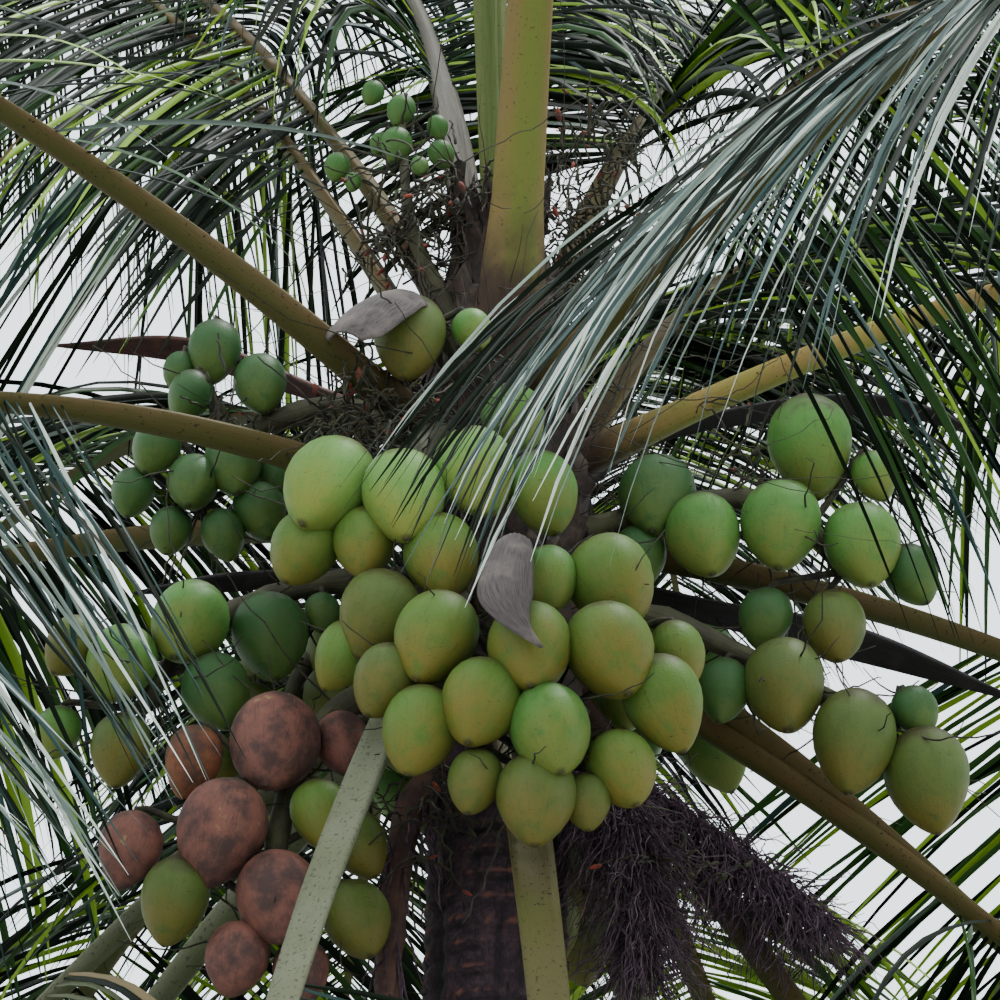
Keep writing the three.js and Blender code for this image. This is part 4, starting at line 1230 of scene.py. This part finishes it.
# Bracts
def build_bract(name, rows, finish, node, facing=(0.0, 0.0, 1.0), widen=1.15):
    """A boat-shaped spathe: a flat grid bent over its line, ribbed, then given a wall."""
    long, wide, cup = 40, 16, 0.5
    line = thick_path(rows, long + 1)
    bpy.ops.mesh.primitive_grid_add(x_subdivisions=wide, y_subdivisions=long, size=1)
    bract = bpy.context.active_object
    bract.name = name
    run = run_along(line[None, :, :3])[0]
    across = unit(np.cross(np.array(facing), run))
    over = np.cross(run, across)
    grid = places_of(bract.data)
    k = np.clip(np.round((grid[:, 1] + 0.5) * long).astype(int), 0, long)
    a = grid[:, 0] * 2
    half = np.maximum(line[k, 3], 0.004) * widen
    ribs = 0.0012 * np.cos(a * 22)
    lift = (half * cup * (1 - a**2) + ribs * np.minimum(half / 0.03, 1))[:, None]
    points = line[k, :3] + across[k] * (half * a)[:, None] + over[k] * (lift - (half * cup * 0.5)[:, None])
    bract.data.vertices.foreach_set("co", points.ravel())
    skin = bract.data.uv_layers.active
    skin.name = "skin"
    for loop in bract.data.loops:
        index = loop.vertex_index
        skin.data[loop.index].uv = ((a[index] + 1) / 2, k[index] / long)
    wall = bract.modifiers.new("wall", "SOLIDIFY")
    wall.thickness = 0.005
    wall.offset = 0.0
    bpy.ops.object.modifier_apply(modifier="wall")
    bract.data.materials.append(finish)
    bpy.ops.object.shade_smooth()
    bract.select_set(False)
    return stand_for(bract, "bract", node)


# Hanging fibre
def build_fibre(name, strands, seed):
    """Spent flower stalks matted into a broom: many thin strands hung from one path."""
    luck = np.random.default_rng(seed)
    line = thick_path(HANGINGS[name], 40)
    growth = Growth()
    core = line[::3]
    add_limbs(growth, core[None, :, :3], (core[:, 3] * 0.30)[None], 12)
    for _ in range(strands):
        k = int(luck.integers(0, 36))
        away = unit(luck.normal(0, 1, 3) * [1, 1, 0.5])
        start = line[k, :3] + away * line[k, 3] * luck.uniform(0.1, 0.7)
        size = luck.uniform(0.08, 0.28)
        end = start + away * size * luck.uniform(0.2, 0.6) - UP * size * luck.uniform(0.1, 1.0)
        end[2] = max(end[2], line[-1, 2] - 0.06)
        tail = bowed(start, end, 0.0, 8, luck, 0.009)
        thick = luck.uniform(0.0010, 0.0030)
        add_strand(growth, tail, thick, thick * 0.4, 3)
    return stand_for(growth.piece(name, [FIBRE]), "fibre", name)


def build_dead_stalk(seed):
    """A dead frond's stalk that hangs by the trunk, frayed all along."""
    luck = np.random.default_rng(seed)
    line = thick_path(HANGINGS["stalk_dead"], 30)
    growth = Growth()
    add_knotty(growth, line, 0.08, 12, luck)
    for _ in range(70):
        k = int(luck.integers(2, 29))
        away = unit(luck.normal(0, 1, 3) * [1, 1, 0.2])
        start = line[k, :3] + away * line[k, 3] * 0.8
        end = start + away * 0.05 - UP * luck.uniform(0.08, 0.26)
        end[2] = max(end[2], line[-1, 2] - 0.04)
        tail = bowed(start, end, 0.0, 8, luck, 0.006)
        add_strand(growth, tail, 0.0035, 0.0014, 4, 1)
    return stand_for(growth.piece("dead_stalk", [OLD_STALK, FIBRE]), "dead_stalk", "stalk_dead")


# Crown's heart
def build_sheaths(seed):
    """Brown cloth of fibre left round the young frond bases, ragged at its upper edge."""
    luck = np.random.default_rng(seed)
    growth = Growth()
    sheaths, rows, cols = 40, 9, 13
    v = np.linspace(0, 1, rows)[:, None]
    a = np.linspace(-0.75, 0.75, cols)[None]
    for i in range(sheaths):
        turn = i * GOLDEN_ANGLE / 180 * math.pi
        base = 4.72 + 1.25 * (i / (sheaths - 1))
        height = base + v * (0.20 + 0.16 * luck.random(cols)[None])
        reach = np.interp(height, TRUNK_HEIGHTS, TRUNK_RADII) + 0.016 + 0.035 * v
        reach = reach + 0.012 * luck.normal(0, 1, (rows, cols))
        centre = axis_at(height)
        points = centre + np.stack([np.cos(turn + a) * reach, np.sin(turn + a) * reach, 0 * reach], -1)
        growth.grid(points[None], False)
        for _ in range(16):
            c = int(luck.integers(0, cols))
            start = points[-1, c]
            away = (start - centre[-1, c]) * luck.uniform(0.1, 0.8)
            tail = bowed(start, start + away + UP * luck.uniform(-0.1, 0.16), 0.02, 8, luck, 0.006)
            add_strand(growth, tail, 0.002, 0.0008, 3)
    return stand_for(growth.piece("leaf_sheaths", [SHEATH]), "fibre")


def build_strings(seed):
    """Long dead flower twigs that dangle through the crown, thin as string."""
    luck = np.random.default_rng(seed)
    growth = Growth()
    for _ in range(150):
        turn = luck.uniform(0, 2 * math.pi)
        height = luck.uniform(5.0, 6.3)
        start = axis_at(height) + np.array([math.cos(turn), math.sin(turn), 0]) * luck.uniform(0.10, 0.50)
        size = luck.uniform(0.25, 0.95)
        swing = luck.uniform(-0.7, 0.7)
        away = np.array([math.cos(turn + swing), math.sin(turn + swing), luck.uniform(-0.8, 0.5)])
        tail = bowed(start, start + away * size, luck.uniform(0.0, 0.16) * size, 16, luck, 0.008)
        thick = luck.uniform(0.0012, 0.0024)
        add_strand(growth, tail, thick, thick * 0.5, 3)
    return stand_for(growth.piece("dead_strings", [TWIG]), "nut")


# Clumps of dried flowers: across, depth, height, how far they spread, how many twigs
FLOWER_CLUMPS = [
    (-0.30, -0.30, 5.36, 0.11, 130),
    (-0.14, -0.28, 5.32, 0.10, 110),
    (-0.16, -0.08, 6.06, 0.13, 130),
    (-0.30, -0.06, 6.02, 0.10, 30),
    (0.56, -0.10, 5.33, 0.12, 40),
    (-0.15, -0.24, 4.46, 0.09, 46),
    (0.34, -0.22, 4.36, 0.07, 20),
    (0.20, 0.02, 6.15, 0.12, 90),
    (0.24, 0.06, 6.36, 0.12, 70),
    (0.16, 0.06, 6.02, 0.12, 70),
    (-0.62, -0.05, 5.50, 0.10, 30),
]
BUD_SHARE = 0.35


def build_flower_remains(seed):
    """Dried flower twigs with buds, in clumps where the bunches leave the crown."""
    luck = np.random.default_rng(seed)
    growth = Growth()
    ball = nut_shape(7, 8)
    for x, y, z, spread, count in FLOWER_CLUMPS:
        for _ in range(count):
            start = in_crown([x, y, z]) + luck.normal(0, spread * 0.55, 3)
            toward = unit(luck.normal(0, 1, 3))
            tail = bowed(start, start + toward * luck.uniform(0.05, 0.13), -0.015, 8, luck, 0.007)
            add_strand(growth, tail, 0.0036, 0.0020, 4)
            if luck.random() < BUD_SHARE:
                size = luck.uniform(0.004, 0.010)
                bud = tail[-1] + turned(ball * [0.7, 0.7, 1.5], toward, 0.0) * size
                growth.grid(bud[None], True, 1 if luck.random() < 0.5 else 0, caps=True)
    return stand_for(growth.piece("flower_remains", [TWIG, BLOSSOM]), "nut")


def build_spear(seed):
    """The youngest leaf, still folded like a closed fan, with a few leaflets coming loose."""
    luck = np.random.default_rng(seed)
    share = np.linspace(0, 1, 60)
    base = in_crown([0, 0, SPEAR_HEIGHT])
    line = base + np.stack([-0.09 * share, 0.04 * share**2, SPEAR_LENGTH * share], -1)
    radius = np.interp(share, [0, 0.3, 0.7, 1], [0.034, 0.040, 0.030, 0.006])
    turn = turns_of(48)
    pleat = 1 + 0.10 * np.cos(turn * 12)
    twist = turn + share[:, None] * 0.9
    ring = np.stack([np.cos(twist), np.sin(twist), 0 * twist], -1) * pleat[:, None]
    growth = Growth()
    growth.grid((line[:, None] + ring * radius[:, None, None])[None], True, caps=True)
    for _ in range(26):
        k = int(luck.integers(14, 52))
        swing = luck.uniform(0, 2 * math.pi)
        away = np.array([math.cos(swing), math.sin(swing), 0.0])
        size = luck.uniform(0.25, 0.55)
        start = line[k] + away * radius[k] * 0.6
        end = start + away * luck.uniform(0.02, 0.10) + UP * size
        end[2] = min(end[2], line[-1, 2])
        path = bowed(start, end, -0.01, LEAF_ROWS, luck)
        blade = blade_grid(path[None], np.cross(away, UP)[None], np.array([1.0]), np.array([0.011]), luck)
        growth.grid(blade, False)
    return stand_for(growth.piece("spear_leaf", [SPEAR_LEAF]), "spear", "spear")


# Each piece's last number starts its own luck
build_trunk()
for index, (frond_name, row) in enumerate(FRONDS.items()):
    azimuth, height, lift, bend, length, tilt, rind, mix = row
    rule = {**FROND_RULE, **OWN_RULES.get(frond_name, {})}
    arc = Arc(azimuth, height, lift, bend, length)
    own_nodes = [n for n in (f"frond_{frond_name}", f"frond_{frond_name}_outer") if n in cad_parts]
    build_rib(frond_name, arc, rule["petiole"], rule["girth"], rind, own_nodes)
    build_leaflets(frond_name, arc, tilt, mix, rule, 100 + index, own_nodes)
for index, (bunch_name, bunch) in enumerate(BUNCHES.items()):
    build_bunch(bunch_name, bunch, 300 + index)
for bract_name, bract_rows in BRACTS.items():
    finish = BRACT_RED if bract_name == "left_high" else BRACT_DARK
    build_bract("bract_" + bract_name, bract_rows, finish, "bract_" + bract_name)
for bunch_name, widen in (("front_lower", 1.0), ("under_bract", 1.5)):
    bunch = BUNCHES[bunch_name]
    node = "bunch_" + bunch_name
    build_bract("bract_" + bunch_name, bunch["bract"], BRACT_GREY, node, bunch["facing"], widen)
build_fibre("fibre_front", 2000, 41)
build_fibre("fibre_right", 2200, 42)
build_dead_stalk(43)
build_sheaths(44)
build_strings(46)
build_flower_remains(45)
build_spear(5)

# Floor, light and camera
bpy.ops.mesh.primitive_plane_add(size=FLOOR_SIZE, location=(0, 0, -FLOOR_GAP))
floor = bpy.context.active_object
floor.name = "floor"
floor_finish, floor_tree = new_finish("pale_floor")
finish_surface(floor_tree, linear("#8f918f"), 0.9)
floor.data.materials.append(floor_finish)

world = bpy.data.worlds.new("soft_studio")
bpy.context.scene.world = world
world.use_nodes = True
background = world.node_tree.nodes["Background"]
background.inputs["Color"].default_value = linear("#eaf4f8")
background.inputs["Strength"].default_value = SOFT_LIGHT

sun_data = bpy.data.lights.new("studio_key", "SUN")
sun_data.energy = KEY_LIGHT
sun_data.angle = math.radians(KEY_WIDTH)
sun = bpy.data.objects.new("studio_key", sun_data)
sun.rotation_mode = "QUATERNION"
sun.rotation_quaternion = Vector(KEY_FROM).to_track_quat("Z", "Y")
bpy.context.scene.collection.objects.link(sun)

camera_data = bpy.data.cameras.new("eye")
camera_data.sensor_width = 36.0
camera_data.lens = LENS
camera = bpy.data.objects.new("eye", camera_data)
rise = math.radians(LOOK_UP)
camera.location = Vector(LOOK_AT) - Vector((0, math.cos(rise), math.sin(rise))) * LOOK_DISTANCE
camera.rotation_euler = (math.radians(90 + LOOK_UP), 0, 0)
bpy.context.scene.collection.objects.link(camera)
bpy.context.scene.camera = camera
